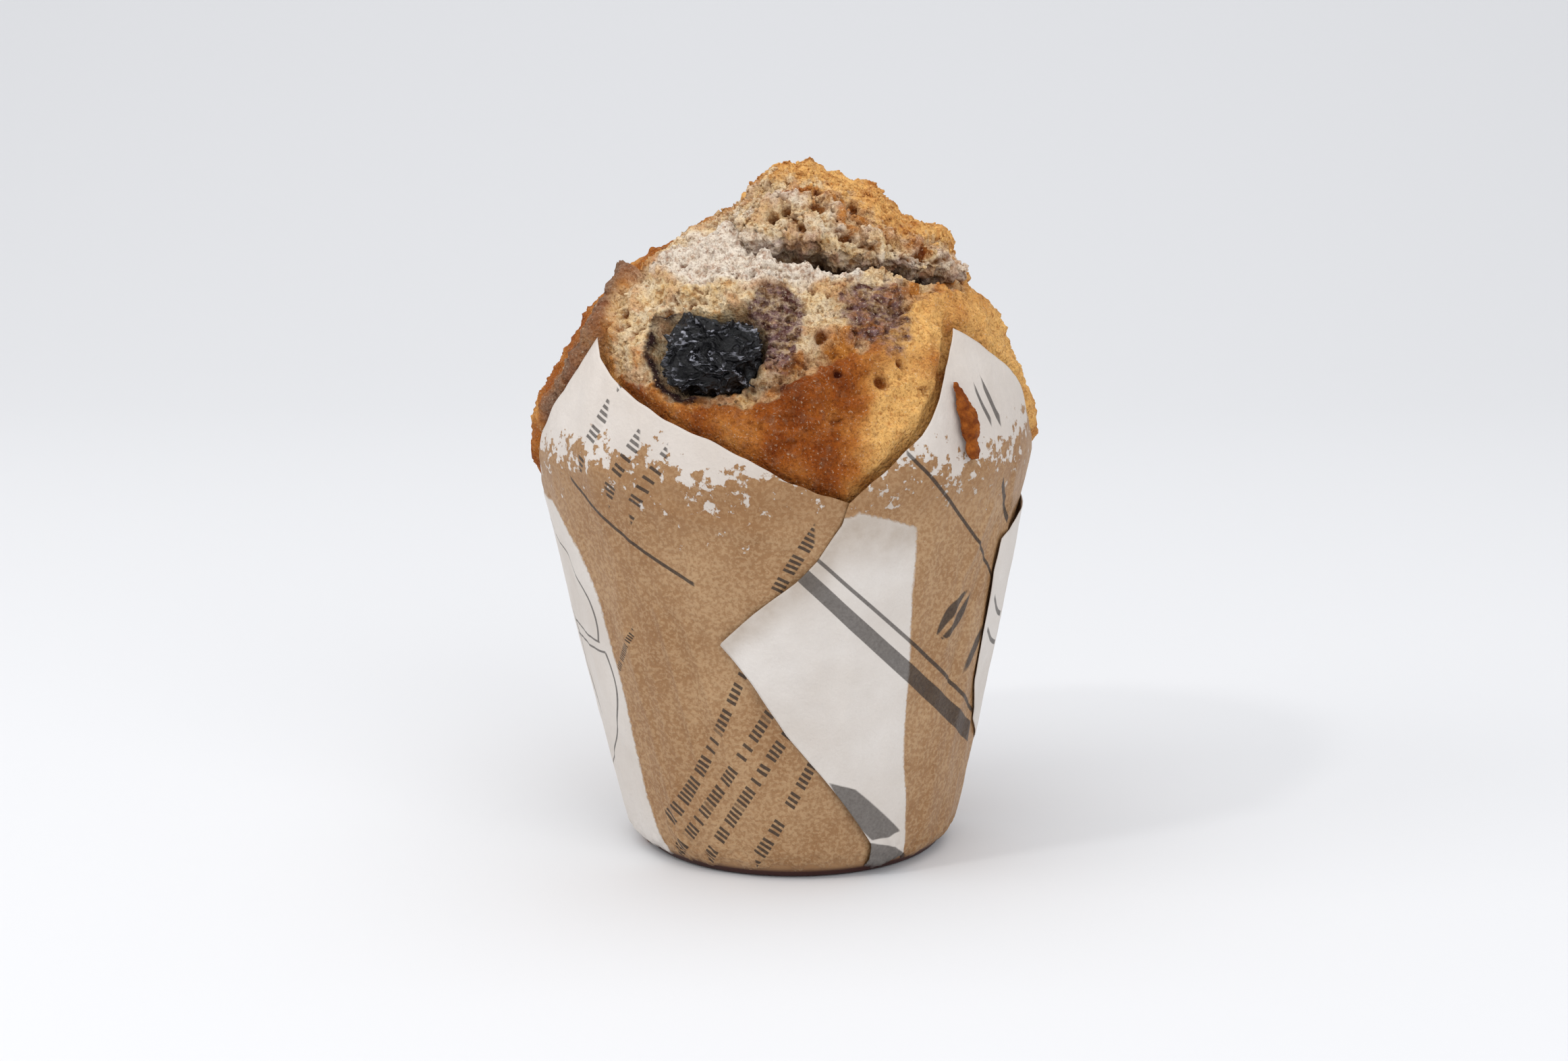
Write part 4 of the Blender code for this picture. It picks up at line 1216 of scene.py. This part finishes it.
def printedFields(name, flat):
    # how far inside its printed shapes each place lies, and how much print shows through from below
    if name != "right":
        return np.full(len(flat), -5.0), np.zeros(len(flat))
    shapes = printedShapes
    blocks = [-outlineDistance(flat, np.array(shapes[key]) * onPaper) for key in ("upperBlock", "lowerBlock")]
    leafX, leafY = (flat - np.array(shapes["leaf"]) * onPaper).T
    along = (leafX + leafY * shapes["leafSlope"]) / shapes["leafRun"]
    slant = (leafY - leafX * shapes["leafSlope"]) / shapes["leafRun"]
    leaf = shapes["leafHalf"][1] * (1 - (along / shapes["leafHalf"][0]) ** 2) - np.abs(slant)
    leaf = np.minimum(leaf, np.abs(slant) - shapes["leafVein"])
    oval = 1.0 - patch(flat, np.array(shapes["oval"]) * onPaper, shapes["ovalHalf"], shapes["ovalLean"])
    height = flat[:, 1]
    band = smooth((height - 50) / 9) * (1 - smooth((height - 64) / 3))
    folded = 1 - smooth(lineDistance(flat, np.array(shapes["foldedEdge"]) * onPaper) / 4.5)
    return np.maximum.reduce([*blocks, leaf, oval * 0.8]), 0.75 * np.maximum(band, folded)


def thicken(piece):
    # gives a sheet of paper its thickness, inwards from its face
    wall = piece.modifiers.new("thickness", "SOLIDIFY")
    wall.thickness = paperLook["thickness"] * mm
    wall.offset = -1.0


def buildSheet(name, seed):
    # the cup's wall between the sheet's edges, moved off by its relief, with an uneven lower edge
    plan = sheetPlans[name]
    turns, heights, across = sheetGrid(name, seed)
    flat = np.stack([turns, heights], axis=-1).reshape(-1, 2) * onPaper
    edges = outlineDistance(flat, np.array(plan["layer"]) * onPaper)
    grid = aroundAxis(turns, cupRadius(heights), heights)
    normals = gridNormals(grid, False).reshape(-1, 3)
    off = sheetRelief(plan, flat, across, edges, seed)
    points = grid.reshape(-1, 3) + normals * off[:, None]
    points[:, 2] = np.maximum(points[:, 2], 0.02)
    roundFoot = np.stack([turns.reshape(-1) / 9, 0 * off, 0 * off], axis=-1)
    raised = (0.75 + ripple(roundFoot, 1.0, seed)) * (1 - smooth(flat[:, 1] / 5))
    points[:, 2] += np.clip(raised, 0, 1.0)
    grid = points.reshape(grid.shape)
    ink, faint = printedFields(name, flat)
    fields = {"band": outlineDistance(flat, np.array(plan["band"]) * onPaper), "layer": edges, "ink": ink,
              "greaseAndFloorShade": 1.2 - flat[:, 1], "faint": faint}
    uv = flat.reshape(*grid.shape[:2], 2) / printUnit
    piece = gridPiece(name + "Sheet", grid, False, None, None, fields, uv)
    thicken(piece)
    hand(piece, "paper_case", paperFinish(name))
    print("sheet", name, len(piece.data.polygons))


def footFinish():
    # soaked paper, darker where a flaky noise is low, with grease and painted shade round the heel
    look = paperLook
    paint = Paint("footPaper")
    flake = paint.noise(0.9, 3.0, 0.6)
    cloud = paint.noise(12.0, 3.0)
    colour = paint.mix(cloud.above(0.5, 0.4), look["soaked"], look["soakedDark"])
    colour = paint.mix((1 - flake.above(0.45, 0.2)) * 0.4, colour, look["soakedDark"])
    colour = paint.mix((paint.field("greaseAndFloorShade") * 1.3).clamped(), colour, look["greaseAndFloorShade"])
    return paint.finish(colour=colour, roughness=0.55, specular=0.35, normal=paint.relief(flake, 0.15, 0.5))


def buildFoot():
    # a flat disc with pressed pleats that turns up into the heel under the sheets
    turn = np.linspace(0, 360, 240, endpoint=False)
    height = np.concatenate([np.linspace(7, 1.2, 14), np.linspace(0.9, 0.0, 7), np.zeros(26)])
    inward = np.concatenate([np.ones(21), np.linspace(0.99, 0.04, 26)])
    turns, heights = np.meshgrid(turn, height)
    isWall = inward[:, None] > 0.99
    radius = (cupRadius(heights) - 0.45) * inward[:, None]
    radius = np.where(heights < 1.3, radius + 0.35 * smooth((1.3 - heights) / 1.3) * isWall, radius)
    grid = aroundAxis(turns, radius, heights)
    pleat = np.abs(np.sin(np.radians(turns) * 6 + radius * 0.05)) * 0.15 * smooth((radius - 6) / 8)
    grid[..., 2] += np.where((inward[:, None] < 0.99) & (inward[:, None] > 0.1), pleat, 0)
    # the heel's dark band: grease with painted shade near the floor
    greaseAndFloorShade = smooth((2.2 - heights) / 1.5) * (inward[:, None] > 0.9)
    piece = gridPiece("footPaper", grid, True, None, [cup["lean"], 0, 0.0], {"greaseAndFloorShade": greaseAndFloorShade})
    thicken(piece)
    hand(piece, "paper_case", footFinish())
    print("foot", len(piece.data.polygons))


studio = {
    "eye": (0.0, -0.412, 0.1319),
    "pitch": -11.0,
    "lens": 58.2,
    "sensor": 36,
    "floor": tone(229, 229, 230),
    "world": (0.86, 0.88, 0.92, 1.0),
    "worldStrength": 0.64,
    # area lights, as (place, aim, sides in m, power, colour)
    "lights": {
        "key": ((-0.85, -0.30, 0.60), (0, 0, 0.06), (0.5, 0.5), 2.0, (1.0, 0.985, 0.96)),
        "top": ((0.0, -0.15, 1.0), (0, 0, 0.06), (1.2, 1.2), 5.0, (1, 1, 1)),
        "fill": ((0.5, -0.9, 0.5), (0, 0, 0.06), (0.8, 0.8), 3.6, (0.96, 0.98, 1.0)),
        "glint": ((-0.46, -0.42, 0.72), (0, 0, 0.06), (0.07, 0.07), 1.0, (1, 1, 1)),
        "backdrop": ((0, 0.55, 1.3), (0, 1.9, 0.25), (3.0, 0.8), 5.0, (1, 1, 1)),
    },
    # the sweep, in mm: half its width, where it starts, where it bends, the bend's radius and its end
    "halfWidth": 2500,
    "start": -1500,
    "bendStart": 500,
    "bendRadius": 1300,
    "bendFrom": 4,
    "bendTo": 56,
    "end": (2700, 2150),
}


def areaLight(name, place, aim, sides, power, colour):
    # a rectangle of light that faces its aim
    data = bpy.data.lights.new(name, "AREA")
    data.shape = "RECTANGLE"
    data.size, data.size_y = sides
    data.energy = power
    data.color = colour
    light = bpy.data.objects.new(name, data)
    bpy.context.scene.collection.objects.link(light)
    light.location = place
    light.rotation_euler = (Vector(aim) - Vector(place)).to_track_quat("-Z", "Y").to_euler()


def buildSweep():
    # the floor runs back flat and then bends up into the backdrop, on an arc of a circle
    look = studio
    across = np.linspace(-look["halfWidth"], look["halfWidth"], 3)
    bend = np.radians(np.linspace(look["bendFrom"], look["bendTo"], 16))
    radius, (endBack, endUp) = look["bendRadius"], look["end"]
    run = np.concatenate([np.linspace(look["start"], look["bendStart"], 4),
                          look["bendStart"] + radius * np.sin(bend), [endBack]])
    rise = np.concatenate([np.zeros(4), radius - radius * np.cos(bend), [endUp]])
    grid = np.stack([np.stack([across, np.full(3, y), np.full(3, z)], axis=-1) for y, z in zip(run, rise)])
    sweep = gridPiece("sweep", grid[::-1], False)
    paper = Paint("studioPaper").finish(colour=look["floor"], roughness=0.9, specular=0.2)
    sweep.data.materials.append(paper)


def buildStudio():
    # the sweep, an even pale world, the lights and the camera, which looks down by the pitch
    buildSweep()
    world = bpy.data.worlds.new("studioLight")
    world.use_nodes = True
    background = world.node_tree.nodes["Background"]
    background.inputs["Color"].default_value = studio["world"]
    background.inputs["Strength"].default_value = studio["worldStrength"]
    bpy.context.scene.world = world
    for name, light in studio["lights"].items():
        areaLight(name, *light)
    camera = bpy.data.objects.new("camera", bpy.data.cameras.new("camera"))
    bpy.context.scene.collection.objects.link(camera)
    camera.data.lens = studio["lens"]
    camera.data.sensor_width = studio["sensor"]
    camera.data.clip_start = 0.01
    camera.location = studio["eye"]
    camera.rotation_euler = (math.radians(90 + studio["pitch"]), 0, 0)
    bpy.context.scene.camera = camera
    bpy.context.scene.view_settings.view_transform = "Standard"
    print("studio")


baked = bakedFinish()
buildMuffin(baked)
buildCap(baked)
buildCrumbs(baked)
buildBerry()
buildShard()
for number, sheetName in enumerate(sheetPlans):
    buildSheet(sheetName, 11 + 5 * number)
buildFoot()
buildStudio()
